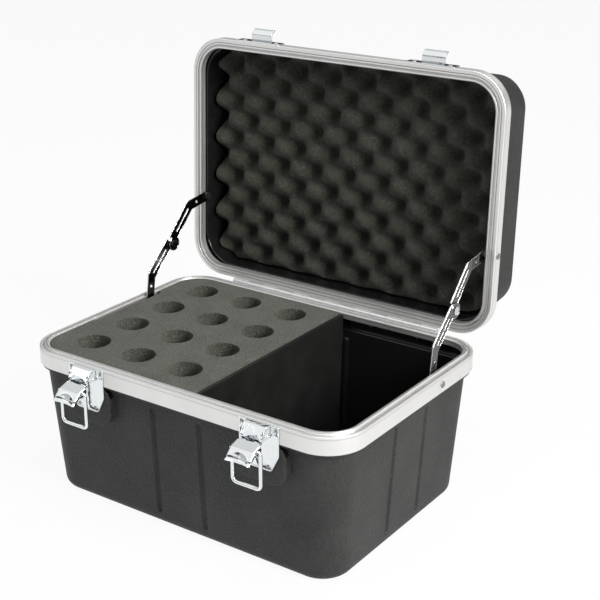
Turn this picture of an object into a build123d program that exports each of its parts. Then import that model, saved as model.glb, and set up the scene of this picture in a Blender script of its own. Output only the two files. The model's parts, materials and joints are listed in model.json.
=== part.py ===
"""Microphone case: a moulded base and a hinged lid in aluminium edge frames, with draw latches.

Frame: X is the width, Y the depth (front at -Y, hinge at +Y), Z is up.
The origin is the centre of the underside of the base. All sizes are in millimetres.
The lid is drawn closed and then swung open about the hinge line.
"""
import math
import os

from build123d import *

# ---- overall sizes -------------------------------------------------------------------------
CASE_WIDTH = 390.0          # outside of the edge frame, left to right
CASE_DEPTH = 273.0          # outside of the edge frame, front to back
BASE_HEIGHT = 161.0         # underside to the rim plane where the lid closes
LID_HEIGHT = 78.0           # rim plane to the top of the closed lid
FRAME_CORNER_RADIUS = 39.5  # outer corner of the edge frame, seen from above
LID_OPEN_ANGLE = 92.3       # swing of the lid from closed to its stop

# ---- edge frame sections -------------------------------------------------------------------
FRAME_FACE_WIDTH = 10.8     # width of the mating face
BAND_THICKNESS = 1.6        # outer vertical band
FACE_THICKNESS = 2.0        # web under the mating face
BASE_BAND_HEIGHT = 18.0
LID_BAND_HEIGHT = 12.0
BASE_LIP_DEPTH = 6.0        # inner lip of the base frame, below the rim plane
LID_LIP_DEPTH = 8.0         # inner lip of the lid frame
LIP_THICKNESS = 1.5
TONGUE_INSET = 6.6          # outer face to the locating tongue
TONGUE_WIDTH = 1.8
TONGUE_HEIGHT = 2.0
TONGUE_CLEARANCE = 0.4      # all round, in the groove of the lid frame
GROOVE_ROOF = 1.2           # metal over the groove of the lid frame
TRIM_LINE_INSET = 3.0       # decorative line in the mating face
TRIM_LINE_WIDTH = 1.2
TRIM_LINE_DEPTH = 0.6
BAND_EDGE_RADIUS = 1.0

# ---- moulded shells ------------------------------------------------------------------------
WALL = 2.6
SEAT_CLEARANCE = 0.15       # flange of a shell to the band that holds it
BASE_SHELL_INSET = 6.2      # frame face to the shell wall, at the rim plane
BASE_SIDE_DRAFT = 3.86      # degrees, left and right walls
BASE_FRONT_DRAFT = 2.69     # degrees, front and back walls
BASE_FLANGE_DROP = 3.0      # the flange ends this far below the band
BASE_TOP_CORNER = 31.5
BASE_BOTTOM_CORNER = 32.0
BASE_BOTTOM_ROUND = 11.0
LID_SHELL_INSET = 7.0
LID_SIDE_DRAFT = 4.46
LID_FRONT_DRAFT = 4.86
LID_FLANGE_RISE = 2.0
LID_BOTTOM_CORNER = 37.0
LID_TOP_CORNER = 33.0
LID_TOP_ROUND = 10.0

# ---- stiffening grooves of the base --------------------------------------------------------
GROOVE_RADIUS = 4.0
GROOVE_DEPTH = 2.0
FRONT_GROOVE_SPACING = 58.0
SIDE_GROOVE_SPACING = 57.0
GROOVE_TOP_DROP = 28.0      # below the rim plane
GROOVE_BOTTOM_HEIGHT = 17.0  # above the underside

# ---- foam and divider ----------------------------------------------------------------------
FOAM_CLEARANCE = 0.4
FOAM_PROUD = 0.5            # foam top above the rim plane
FOAM_RIGHT_EDGE = 22.0      # X of the divider side of the foam
BASE_PAD_THICKNESS = 32.0
HOLE_DIAMETER = 35.5
HOLE_COLUMNS = 3
HOLE_ROWS = 4
HOLE_COLUMN_PITCH = 60.8
HOLE_ROW_PITCH = 59.2
LAST_COLUMN_X = -20.0
DIVIDER_THICKNESS = 4.0
DIVIDER_DROP = 1.5          # divider top below the rim plane
LID_FOAM_DEPTH = 20.5       # rim plane to the foam tips, lid closed
LID_FOAM_PITCH = 43.7       # tip to tip along a column; the next column is half a pitch away
LID_FOAM_RELIEF = 24.0      # tips to valleys
LID_FOAM_TIP_Y = -20.0      # a tip at the left edge of the foam
LID_FOAM_STAY_GAP = 0.6     # side of the foam to the folded stay
STAY_POCKET_DEPTH = 5.9     # room for the folded stay, from the frame lip inward
STAY_POCKET_FRONT = -44.0
STAY_POCKET_BACK = 60.0
STAY_POCKET_DROP = 34.0

# ---- piano hinge ---------------------------------------------------------------------------
HINGE_LENGTH = 270.0
KNUCKLE_COUNT = 13
KNUCKLE_RADIUS = 3.0
KNUCKLE_GAP = 0.4
KNUCKLE_TAB_START = 0.6     # root of a knuckle from the rim plane
KNUCKLE_TAB_CLEARANCE = 0.2  # root of a knuckle from the back of the frame
HINGE_PIN_RADIUS = 1.2
HINGE_RUNNING_CLEARANCE = 0.08
HINGE_LEAF_THICKNESS = 1.2
HINGE_STANDOFF = 0.4        # knuckle to the back of the frame
HINGE_LEAF_REACH = 11.5     # leaf edge from the rim plane, base and lid
HINGE_RIVET_COUNT = 5
HINGE_RIVET_SPACING = 57.5
HINGE_RIVET_DROP = 7.5

# ---- rivets --------------------------------------------------------------------------------
RIVET_RADIUS = 1.6
RIVET_HEAD_RADIUS = 3.2
RIVET_HEAD_HEIGHT = 1.0
RIVET_CLEARANCE = 0.05
RIVET_EDGE_ROUND = 0.6      # share of the height of the head

# ---- draw latches --------------------------------------------------------------------------
LATCH_END_SETBACK = 88.0    # side of the case to the middle of a latch
PLATE_WIDTH = 47.0
PLATE_THICKNESS = 1.2
PLATE_TOP_DROP = 1.0
PLATE_SHOULDER_DROP = 26.0
PLATE_BOTTOM_DROP = 48.0
PLATE_BOTTOM_WIDTH = 30.0
PLATE_BORDER = 2.4
PLATE_EMBOSS = 0.4
PLATE_RIVET_HEAD_RADIUS = 1.9
PLATE_RIVET_RADIUS = 1.2
PAD_WIDTH = 57.0
PAD_BOTTOM_DROP = 63.0
PAD_CORNER = 15.0
PAD_EDGE_ROUND = 2.0
HOUSING_WIDTH = 26.0
HOUSING_WALL = 1.2
HOUSING_DEPTH = 12.2
HOUSING_TOP_DROP = 1.2
HOUSING_FRONT_BOTTOM_DROP = 10.5
EAR_BOTTOM_DROP = 13.5
EAR_CHAMFER = 2.8
STOP_PIN_OUT = 2.6          # from the face of the plate
STOP_PIN_DROP = 11.4
STOP_PIN_RADIUS = 1.2
LEVER_PIVOT_OUT = 8.6
LEVER_PIVOT_DROP = 7.2
LEVER_PIN_RADIUS = 1.3
PIN_HEAD_HEIGHT = 0.4
PIN_HEAD_LIP = 0.8
LEVER_INNER_WIDTH = 23.2    # over the cheeks, between the ears
LEVER_OUTER_WIDTH = 27.4    # over the flanges
LEVER_THICKNESS = 1.2
# Lever outlines in the half-open pose: distance outward and downward from its pivot.
LEVER_FACE = [(1.7, 6.8), (16.2, 11.3), (22.5, 17.3), (23.2, 21.4)]
LEVER_WIDE_START = (4.6, 7.7)
LEVER_CHEEK = [(1.6, 1.5), (0.2, 4.4), (1.7, 6.8), (7.0, 8.4), (6.4, 10.4), (2.5, 9.2), (-1.2, 4.5),
               (-2.0, 0.8)]
LEVER_FLANGE_UNDERSIDE = [(21.8, 21.3), (21.2, 18.3), (17.0, 16.2), (12.6, 17.0), (8.6, 16.9),
                          (6.0, 13.5), (4.0, 9.6)]
LEVER_BARREL_RADIUS = 2.2
LEVER_CUTOUT_RADIUS = 8.0
LEVER_CUTOUT_DEPTH = 5.0
SLEEVE_OUT = 10.0           # bail sleeve from the lever's pivot
SLEEVE_DROP = 13.4
SLEEVE_RADIUS = 2.1
SLEEVE_OVERHANG = 0.2       # each end past the flange of the lever
BAIL_WIRE_RADIUS = 1.9
BAIL_PIN_RADIUS = 1.3
BAIL_PIN_LENGTH = 6.0       # bent-in end, inside the sleeve
BAIL_LEG_SPACING = 32.0
BAIL_LENGTH = 37.0          # sleeve to the middle of the crossbar
BAIL_CORNER_RADIUS = 4.5
PIVOT_CLEARANCE = 0.08

# ---- keepers -------------------------------------------------------------------------------
KEEPER_WIDTH = 57.0
KEEPER_BOTTOM = 0.6         # above the rim plane
KEEPER_TOP = 13.6
HOOK_WIDTH = 26.4
HOOK_REACH = 12.0
HOOK_SHELF = 8.8            # underside of the hook above the rim plane
HOOK_TIP = 16.3
HOOK_THICKNESS = 1.8
HOOK_BEND = 4.5

# ---- folding stays -------------------------------------------------------------------------
STAY_BASE_Y = 45.0
STAY_BASE_DROP = 9.8
STAY_LID_Y = 47.0           # lid closed
STAY_LID_RISE = 6.5
STAY_OFFSET = 13.0          # knuckle off the straight line between the pivots
STAY_LINK_THICKNESS = 1.5
STAY_LINK_GAP = 0.3
STAY_HEAD = 0.8             # outer head and inner cap of the knuckle rivet
STAY_WALL_GAP = 0.3
STAY_WIDTH = 14.0
STAY_END_WIDTH = 12.0
STAY_PIN_RADIUS = 2.4
STAY_STUD_RADIUS = 3.6
STAY_PIN_HEAD_RADIUS = 4.4
STAY_KNUCKLE_RADIUS = 8.4
STAY_KINK_REACH = 33.5      # pivot to the kink
STAY_KINK_ANGLE = 27.0      # between the kink and the straight line to the knuckle
STAY_BAR_OFFSET = 5.6       # middle of the slotted bar to the middle of the knuckle
STAY_BAR_SETBACK = 3.0      # end of the slotted bar short of the knuckle
STAY_SLOT_WIDTH = 3.2
STAY_SLOT_START = 4.0       # from the kink
STAY_SLOT_END = 10.5        # from the end of the slotted bar
STAY_HOLE_RADIUS = 1.6
STAY_HOLE_REACH = 20.8      # pivot to the small hole
STAY_END_PLAY = 0.1         # link to the heads of its stud

# ---- carrying handle on the lid ------------------------------------------------------------
HANDLE_SPAN = 124.0         # between the pivots
HANDLE_Y = -14.0            # pivot line, lid closed
HANDLE_PIVOT_RISE = 8.2     # above the lid
HANDLE_REACH = 34.0         # pivot line to the middle of the grip
HANDLE_GRIP_RADIUS = 8.5
HANDLE_ARM_WIDTH = 12.0
HANDLE_ARM_THICKNESS = 9.0
HANDLE_PIN_RADIUS = 2.2
HANDLE_SIDE_PLAY = 0.4      # arm to the ears of its bracket
HANDLE_ELBOW_LENGTH = 14.0
HANDLE_ELBOW_WIDTH = 11.5
HANDLE_ELBOW_THICKNESS = 10.0
HANDLE_REST_GAP = 1.5       # grip above the lid
BRACKET_REACH = 19.0        # pivot to the outer end of the foot
BRACKET_WIDTH = 26.0
BRACKET_THICKNESS = 1.6
BRACKET_EAR_RADIUS = 6.0
BRACKET_EAR_MARGIN = 3.0
BRACKET_RIVET_REACH = 12.0  # pivot to the rivets
BRACKET_RIVET_SPACING = 14.6
HANDLE_PIN_LIP = 1.2
HANDLE_PIN_HEAD = 0.8
BACKING_PLATE_LENGTH = 33.0
BACKING_PLATE_WIDTH = 25.0
BACKING_PLATE_THICKNESS = 1.2

# ---- values that follow from the sizes above -----------------------------------------------
RIM = BASE_HEIGHT
FRONT = -CASE_DEPTH / 2
BACK = CASE_DEPTH / 2
SIDE = CASE_WIDTH / 2
LATCH_X = SIDE - LATCH_END_SETBACK
HINGE_Y = BACK + HINGE_STANDOFF + KNUCKLE_RADIUS
HINGE_Z = RIM
HINGE_AXIS = Axis((0, HINGE_Y, HINGE_Z), (1, 0, 0))
LID_TOP = RIM + LID_HEIGHT
PLATE_FACE = FRONT - PLATE_THICKNESS
FLANGE_OUTER_INSET = BAND_THICKNESS + SEAT_CLEARANCE
FLANGE_INNER_INSET = FLANGE_OUTER_INSET + WALL
BASE_LEDGE_Z = RIM - BASE_BAND_HEIGHT - BASE_FLANGE_DROP
LID_LEDGE_Z = RIM + LID_BAND_HEIGHT + LID_FLANGE_RISE
STAY_LIP_X = SIDE - FRAME_FACE_WIDTH


def rounded_block(inset, z_low, z_high):
    """A block with the outline of the edge frame, pulled in by an inset."""
    radius = max(FRAME_CORNER_RADIUS - inset, 1.0)
    outline = RectangleRounded(CASE_WIDTH - 2 * inset, CASE_DEPTH - 2 * inset, radius)
    return Pos(0, 0, z_low) * extrude(outline, z_high - z_low)


def frame_ring(inset_outer, inset_inner, z_low, z_high):
    return rounded_block(inset_outer, z_low, z_high) - rounded_block(inset_inner, z_low, z_high)


def x_rod(radius, x_low, x_high, y, z):
    """A round rod along X."""
    rod = Cylinder(radius, x_high - x_low, align=(Align.CENTER, Align.CENTER, Align.MIN))
    return Pos(x_low, y, z) * Rot(0, 90, 0) * rod


def y_rod(radius, x, y_low, y_high, z):
    """A round rod along Y."""
    rod = Cylinder(radius, y_high - y_low, align=(Align.CENTER, Align.CENTER, Align.MIN))
    return Pos(x, y_high, z) * Rot(90, 0, 0) * rod


def z_rod(radius, x, y, z_low, z_high):
    rod = Cylinder(radius, z_high - z_low, align=(Align.CENTER, Align.CENTER, Align.MIN))
    return Pos(x, y, z_low) * rod


def block(x_low, x_high, y_low, y_high, z_low, z_high):
    size = (x_high - x_low, y_high - y_low, z_high - z_low)
    return Pos(x_low, y_low, z_low) * Box(*size, align=(Align.MIN, Align.MIN, Align.MIN))


def yz_plate(outline, x_low, x_high):
    """A plate whose face is drawn in Y and Z and whose thickness runs along X."""
    face = Plane((x_low, 0, 0), x_dir=(0, 1, 0), z_dir=(1, 0, 0)) * outline
    return extrude(face, x_high - x_low, dir=(1, 0, 0))


def xz_plate(outline, y_low, y_high):
    """A plate whose face is drawn in X and Z and whose thickness runs along Y."""
    face = Plane((0, y_high, 0), x_dir=(1, 0, 0), z_dir=(0, -1, 0)) * outline
    return extrude(face, y_high - y_low, dir=(0, -1, 0))


def mirrored(shape):
    return mirror(shape, Plane.YZ)


def opened(shape):
    """Swing a shape that is drawn on the closed lid to its open place."""
    return shape.rotate(HINGE_AXIS, -LID_OPEN_ANGLE)


def opened_point(y, z):
    angle = math.radians(-LID_OPEN_ANGLE)
    y_off = y - HINGE_Y
    z_off = z - HINGE_Z
    return (HINGE_Y + y_off * math.cos(angle) - z_off * math.sin(angle),
            HINGE_Z + y_off * math.sin(angle) + z_off * math.cos(angle))


def grouped(shapes):
    """Separate solids kept together in one node."""
    return Compound(children=list(shapes))


# ---- rivets --------------------------------------------------------------------------------
def front_rivet(x, y_head, y_tail, z, radius=RIVET_RADIUS, head_radius=RIVET_HEAD_RADIUS):
    """A rivet through a wall at the front, its head towards -Y and its tail inside."""
    shank = y_rod(radius, x, y_head, y_tail, z)
    head = y_rod(head_radius, x, y_head - RIVET_HEAD_HEIGHT, y_head, z)
    tail = y_rod(head_radius, x, y_tail, y_tail + RIVET_HEAD_HEIGHT, z)
    return shank + fillet(head.edges().sort_by(Axis.Y)[0], RIVET_HEAD_HEIGHT * RIVET_EDGE_ROUND) + tail


def back_rivet(x, y_head, y_tail, z):
    rivet = front_rivet(-x, -y_head, -y_tail, z)
    return rivet.rotate(Axis.Z, 180)


def front_hole(x, z, y_low, y_high, radius=RIVET_RADIUS):
    return y_rod(radius + RIVET_CLEARANCE, x, y_low, y_high, z)


def hinge_rivet_places():
    first = -HINGE_RIVET_SPACING * (HINGE_RIVET_COUNT - 1) / 2
    return [first + HINGE_RIVET_SPACING * i for i in range(HINGE_RIVET_COUNT)]


def latch_rivet_places():
    """X offset from the middle of the latch, drop below the rim plane."""
    margin = PLATE_BORDER + PLATE_RIVET_HEAD_RADIUS + RIVET_CLEARANCE
    top_x = PLATE_WIDTH / 2 - margin
    bottom_x = PLATE_BOTTOM_WIDTH / 2 - margin
    top_drop = PLATE_TOP_DROP + margin
    bottom_drop = PLATE_BOTTOM_DROP - margin
    return [(-top_x, top_drop), (top_x, top_drop), (-bottom_x, bottom_drop), (bottom_x, bottom_drop)]


def keeper_rivet_places():
    x = (KEEPER_WIDTH + HOOK_WIDTH) / 4
    rise = TONGUE_HEIGHT + TONGUE_CLEARANCE + GROOVE_ROOF + RIVET_HEAD_RADIUS + SEAT_CLEARANCE
    return [(-x, rise), (x, rise)]


def base_holes():
    """Every rivet hole that goes through the base frame and the base shell."""
    holes = []
    for x in hinge_rivet_places():
        holes.append(front_hole(x, RIM - HINGE_RIVET_DROP, BACK - FLANGE_INNER_INSET - 1, BACK + 1))
    for side in (-1, 1):
        for x, drop in latch_rivet_places():
            holes.append(front_hole(side * LATCH_X + x, RIM - drop, FRONT - 1,
                                    FRONT + FLANGE_INNER_INSET + 1, PLATE_RIVET_RADIUS))
        stud = x_rod(RIVET_RADIUS + RIVET_CLEARANCE, STAY_LIP_X, SIDE + 1, STAY_BASE_Y,
                     RIM - STAY_BASE_DROP)
        holes.append(stud if side > 0 else mirrored(stud))
    return holes


def lid_holes():
    holes = []
    for x in hinge_rivet_places():
        holes.append(front_hole(x, RIM + HINGE_RIVET_DROP, BACK - FLANGE_INNER_INSET - 1, BACK + 1))
    for side in (-1, 1):
        for x, rise in keeper_rivet_places():
            holes.append(front_hole(side * LATCH_X + x, RIM + rise, FRONT - 1,
                                    FRONT + FLANGE_INNER_INSET + 1))
        stud = x_rod(RIVET_RADIUS + RIVET_CLEARANCE, STAY_LIP_X - 1, SIDE + 1, STAY_LID_Y,
                     RIM + STAY_LID_RISE)
        holes.append(stud if side > 0 else mirrored(stud))
    return holes


# ---- edge frames ---------------------------------------------------------------------------
def make_base_frame():
    body = rounded_block(0, RIM - BASE_BAND_HEIGHT, RIM)
    body = fillet(body.faces().sort_by(Axis.Z)[-1].edges(), BAND_EDGE_RADIUS)
    body -= rounded_block(BAND_THICKNESS, RIM - BASE_BAND_HEIGHT, RIM - FACE_THICKNESS)
    lip = frame_ring(FRAME_FACE_WIDTH - LIP_THICKNESS, FRAME_FACE_WIDTH, RIM - BASE_LIP_DEPTH, RIM)
    body += lip
    body -= rounded_block(FRAME_FACE_WIDTH, RIM - BASE_BAND_HEIGHT, RIM + 1)
    body += frame_ring(TONGUE_INSET, TONGUE_INSET + TONGUE_WIDTH, RIM, RIM + TONGUE_HEIGHT)
    body -= frame_ring(TRIM_LINE_INSET, TRIM_LINE_INSET + TRIM_LINE_WIDTH, RIM - TRIM_LINE_DEPTH, RIM)
    for hole in base_holes():
        body -= hole
    return body


def make_lid_frame():
    groove_outer = TONGUE_INSET - TONGUE_CLEARANCE
    groove_inner = TONGUE_INSET + TONGUE_WIDTH + TONGUE_CLEARANCE
    groove_top = RIM + TONGUE_HEIGHT + TONGUE_CLEARANCE
    body = rounded_block(0, RIM, RIM + LID_BAND_HEIGHT)
    body = fillet(body.faces().sort_by(Axis.Z)[0].edges(), BAND_EDGE_RADIUS)
    body -= rounded_block(BAND_THICKNESS, RIM + FACE_THICKNESS, RIM + LID_BAND_HEIGHT)
    body += frame_ring(groove_outer - LIP_THICKNESS, FRAME_FACE_WIDTH, RIM, groove_top + GROOVE_ROOF)
    body += frame_ring(FRAME_FACE_WIDTH - LIP_THICKNESS, FRAME_FACE_WIDTH, RIM, RIM + LID_LIP_DEPTH)
    body -= rounded_block(FRAME_FACE_WIDTH, RIM - 1, RIM + LID_BAND_HEIGHT)
    body -= frame_ring(groove_outer, groove_inner, RIM - 1, groove_top)
    for hole in lid_holes():
        body -= hole
    return body


# ---- moulded shells ------------------------------------------------------------------------
def drafted_block(inset, side_draft, front_draft, z_start, z_end, corner_start, corner_end):
    """A block whose walls lean in from z_start to z_end; the inset holds at the rim plane."""
    outlines = []
    for z, corner in ((z_start, corner_start), (z_end, corner_end)):
        travel = abs(z - RIM)
        width = CASE_WIDTH - 2 * (inset + travel * math.tan(math.radians(side_draft)))
        depth = CASE_DEPTH - 2 * (inset + travel * math.tan(math.radians(front_draft)))
        outlines.append(Pos(0, 0, z) * RectangleRounded(width, depth, corner))
    return loft(outlines)


def base_body(offset):
    """The tapering part of the base: offset 0 is the outside, WALL is the inside."""
    round_radius = BASE_BOTTOM_ROUND - offset
    solid = drafted_block(BASE_SHELL_INSET + offset, BASE_SIDE_DRAFT, BASE_FRONT_DRAFT, BASE_LEDGE_Z,
                          offset, BASE_TOP_CORNER - offset, BASE_BOTTOM_CORNER - offset)
    return fillet(solid.faces().sort_by(Axis.Z)[0].edges(), round_radius)


def base_wall_y(z):
    """Distance of the front wall from the middle, at a height."""
    return BACK - BASE_SHELL_INSET - (RIM - z) * math.tan(math.radians(BASE_FRONT_DRAFT))


def base_wall_x(z):
    return SIDE - BASE_SHELL_INSET - (RIM - z) * math.tan(math.radians(BASE_SIDE_DRAFT))


def leaning_groove(radius, low, high):
    """A round-ended bar between two points."""
    direction = Vector(*high) - Vector(*low)
    bar = Plane(origin=low, z_dir=direction) * Cylinder(
        radius, direction.length, align=(Align.CENTER, Align.CENTER, Align.MIN))
    return bar + Pos(*low) * Sphere(radius) + Pos(*high) * Sphere(radius)


def base_grooves(growth):
    """The stiffening grooves on all four walls; growth widens them for the inside."""
    radius = GROOVE_RADIUS + growth
    axis_out = GROOVE_RADIUS - GROOVE_DEPTH
    z_low = GROOVE_BOTTOM_HEIGHT
    z_high = RIM - GROOVE_TOP_DROP - GROOVE_RADIUS
    grooves = []
    for side in (-1, 1):
        for step in (-1, 1):
            x = step * FRONT_GROOVE_SPACING / 2
            grooves.append(leaning_groove(radius, (x, side * (base_wall_y(z_low) + axis_out), z_low),
                                          (x, side * (base_wall_y(z_high) + axis_out), z_high)))
            y = step * SIDE_GROOVE_SPACING / 2
            grooves.append(leaning_groove(radius, (side * (base_wall_x(z_low) + axis_out), y, z_low),
                                          (side * (base_wall_x(z_high) + axis_out), y, z_high)))
    return grooves


def latch_pad(side, offset):
    """The raised pad that carries a latch, flush with the band."""
    half = PAD_WIDTH / 2 - offset
    z_low = RIM - PAD_BOTTOM_DROP + offset
    z_high = RIM - BASE_BAND_HEIGHT - BASE_FLANGE_DROP / 2
    corner = PAD_CORNER - offset
    with BuildSketch(Plane.XZ.offset(-FRONT - offset)) as sketch:
        with Locations((side * LATCH_X, (z_low + z_high) / 2)):
            Rectangle(2 * half, z_high - z_low)
        low_corners = sketch.vertices().group_by(Axis.Z)[0]
        fillet(low_corners, corner)
    pad = extrude(sketch.sketch, -FRAME_FACE_WIDTH * 1.4)
    edges = pad.faces().sort_by(Axis.Y)[0].edges()
    return fillet(edges, PAD_EDGE_ROUND - offset * 0.5)


def make_base_shell():
    flange_top = RIM - FACE_THICKNESS
    outer = base_body(0)
    for groove in base_grooves(0):
        outer -= groove
    outer += rounded_block(FLANGE_OUTER_INSET, BASE_LEDGE_Z, flange_top)
    inner = base_body(WALL)
    for rib in base_grooves(WALL):
        inner -= rib
    inner += rounded_block(FLANGE_INNER_INSET, BASE_LEDGE_Z + WALL, flange_top)
    inner += drafted_throat(WALL)
    for side in (-1, 1):
        outer += latch_pad(side, 0)
        inner += latch_pad(side, WALL)
    shell = outer - inner
    for hole in base_holes():
        shell -= hole
    return shell


def drafted_throat(offset):
    """Opens the inside of the base up through the ledge."""
    return drafted_block(BASE_SHELL_INSET + offset, BASE_SIDE_DRAFT, BASE_FRONT_DRAFT,
                         BASE_LEDGE_Z + WALL, BASE_LEDGE_Z, BASE_TOP_CORNER - offset,
                         BASE_TOP_CORNER - offset)


def lid_body(offset):
    solid = drafted_block(LID_SHELL_INSET + offset, LID_SIDE_DRAFT, LID_FRONT_DRAFT, LID_LEDGE_Z,
                          LID_TOP - offset, LID_BOTTOM_CORNER - offset * 0.5,
                          LID_TOP_CORNER - offset)
    return fillet(solid.faces().sort_by(Axis.Z)[-1].edges(), LID_TOP_ROUND - offset)


def make_lid_shell():
    flange_low = RIM + FACE_THICKNESS
    outer = lid_body(0) + rounded_block(FLANGE_OUTER_INSET, flange_low, LID_LEDGE_Z)
    inner = lid_body(WALL)
    inner += rounded_block(FLANGE_INNER_INSET, flange_low, LID_LEDGE_Z - WALL)
    inner += drafted_block(LID_SHELL_INSET + WALL, LID_SIDE_DRAFT, LID_FRONT_DRAFT,
                           LID_LEDGE_Z - WALL, LID_LEDGE_Z, LID_BOTTOM_CORNER - WALL * 0.5,
                           LID_BOTTOM_CORNER - WALL * 0.5)
    shell = outer - inner
    clear = GROOVE_ROOF + TONGUE_HEIGHT + TONGUE_CLEARANCE
    shell -= frame_ring(TONGUE_INSET - TONGUE_CLEARANCE - LIP_THICKNESS - SEAT_CLEARANCE,
                        FRAME_FACE_WIDTH, RIM, RIM + clear + SEAT_CLEARANCE)
    for hole in lid_holes() + handle_holes():
        shell -= hole
    return shell


# ---- foam and divider ----------------------------------------------------------------------
def base_space(z_low, z_high):
    """The clear inside of the base between two heights, less the foam clearance."""
    offset = WALL + FOAM_CLEARANCE
    space = base_body(offset) + rounded_block(FRAME_FACE_WIDTH + FOAM_CLEARANCE, BASE_LEDGE_Z,
                                              RIM + FOAM_PROUD)
    space = space & block(-SIDE, SIDE, FRONT, BACK, z_low, z_high)
    for rib in base_grooves(offset):
        space -= rib
    return space


def hole_places():
    places = []
    for column in range(HOLE_COLUMNS):
        x = LAST_COLUMN_X - HOLE_COLUMN_PITCH * column
        for row in range(HOLE_ROWS):
            y = HOLE_ROW_PITCH * (row - (HOLE_ROWS - 1) / 2)
            places.append((x, y))
    return places


def make_foam_insert():
    z_low = WALL + BASE_PAD_THICKNESS
    foam = base_space(z_low, RIM + FOAM_PROUD)
    foam = foam & block(-SIDE, FOAM_RIGHT_EDGE, FRONT, BACK, 0, RIM + FOAM_PROUD)
    for x, y in hole_places():
        foam -= z_rod(HOLE_DIAMETER / 2, x, y, z_low, RIM + FOAM_PROUD)
    pocket = block(-SIDE, -STAY_LIP_X + STAY_POCKET_DEPTH, STAY_POCKET_FRONT, STAY_POCKET_BACK,
                   RIM - STAY_POCKET_DROP, RIM + FOAM_PROUD)
    return foam - pocket


def make_foam_base_pad():
    pad = base_space(WALL, WALL + BASE_PAD_THICKNESS)
    return pad & block(-SIDE, FOAM_RIGHT_EDGE, FRONT, BACK, 0, RIM)


def make_divider():
    panel = base_space(WALL, RIM - DIVIDER_DROP)
    return panel & block(FOAM_RIGHT_EDGE, FOAM_RIGHT_EDGE + DIVIDER_THICKNESS, FRONT, BACK, 0, RIM)


def flat_face(*points):
    return Face(Wire.make_polygon(points))


def convoluted_slab(x_tip, y_tip, z_tip, z_back):
    """A slab wider than the lid; its underside has tips and valleys in a staggered grid."""
    step = LID_FOAM_PITCH / 2
    low_i, high_i = math.floor((-SIDE - x_tip) / step), math.ceil((SIDE - x_tip) / step)
    low_j, high_j = math.floor((FRONT - y_tip) / step), math.ceil((BACK - y_tip) / step)

    def spot(i, j, z):
        return (x_tip + i * step, y_tip + j * step, z)

    def front(i, j):
        return spot(i, j, z_tip + (i + j) % 2 * LID_FOAM_RELIEF)

    def back(i, j):
        return spot(i, j, z_back)

    faces = []
    for i in range(low_i, high_i):
        for j in range(low_j, high_j):
            saddle = spot(i + 0.5, j + 0.5, z_tip + LID_FOAM_RELIEF / 2)
            ring = [front(i, j), front(i + 1, j), front(i + 1, j + 1), front(i, j + 1)]
            faces += [flat_face(a, b, saddle) for a, b in zip(ring, ring[1:] + ring[:1])]
    border = [(i, low_j) for i in range(low_i, high_i)] + [(high_i, j) for j in range(low_j, high_j)]
    border += [(i, high_j) for i in range(high_i, low_i, -1)] + [(low_i, j) for j in range(high_j, low_j, -1)]
    for a, b in zip(border, border[1:] + border[:1]):
        faces.append(flat_face(front(*a), front(*b), back(*b), back(*a)))
    faces.append(flat_face(*[back(*place) for place in border]))
    return Solid(Shell(faces))


def make_lid_foam():
    """Convoluted foam in the lid, cut off straight beside the stays."""
    half_width = stay_planes()[-1] - LID_FOAM_STAY_GAP
    z_tip = RIM + LID_FOAM_DEPTH
    foam = lid_body(WALL + FOAM_CLEARANCE) & block(-half_width, half_width, FRONT, BACK, z_tip, LID_TOP)
    foam = foam & convoluted_slab(-half_width, LID_FOAM_TIP_Y, z_tip, LID_TOP)
    return foam - backing_plate_space()


# ---- piano hinge ---------------------------------------------------------------------------
def knuckle_spans(first):
    """X ranges of every second knuckle, from the first or the second one."""
    pitch = HINGE_LENGTH / KNUCKLE_COUNT
    spans = []
    for i in range(first, KNUCKLE_COUNT, 2):
        low = -HINGE_LENGTH / 2 + i * pitch
        spans.append((low + KNUCKLE_GAP / 2, low + pitch - KNUCKLE_GAP / 2))
    return spans


def hinge_leaf(direction, first):
    """A leaf on the back of a frame: direction -1 is the base, +1 the closed lid."""
    notch = KNUCKLE_RADIUS + KNUCKLE_GAP
    z_near = RIM + direction * notch
    z_far = RIM + direction * HINGE_LEAF_REACH
    y_high = BACK + HINGE_LEAF_THICKNESS
    leaf = block(-HINGE_LENGTH / 2, HINGE_LENGTH / 2, BACK, y_high, min(z_near, z_far),
                 max(z_near, z_far))
    for low, high in knuckle_spans(first):
        leaf += x_rod(KNUCKLE_RADIUS, low, high, HINGE_Y, HINGE_Z)
        z_root = RIM + direction * KNUCKLE_TAB_START
        leaf += block(low, high, BACK + KNUCKLE_TAB_CLEARANCE, y_high, min(z_root, z_near),
                      max(z_root, z_near))
    leaf -= x_rod(HINGE_PIN_RADIUS + HINGE_RUNNING_CLEARANCE, -HINGE_LENGTH, HINGE_LENGTH, HINGE_Y,
                  HINGE_Z)
    for x in hinge_rivet_places():
        leaf -= front_hole(x, RIM + direction * HINGE_RIVET_DROP, BACK - 1, y_high + 1)
    return leaf


def make_hinge_pin():
    return x_rod(HINGE_PIN_RADIUS, -HINGE_LENGTH / 2, HINGE_LENGTH / 2, HINGE_Y, HINGE_Z)


def make_hinge_rivets(direction):
    y_head = BACK + HINGE_LEAF_THICKNESS
    y_tail = BACK - FLANGE_INNER_INSET
    z = RIM + direction * HINGE_RIVET_DROP
    return grouped([back_rivet(x, y_head, y_tail, z) for x in hinge_rivet_places()])


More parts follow.
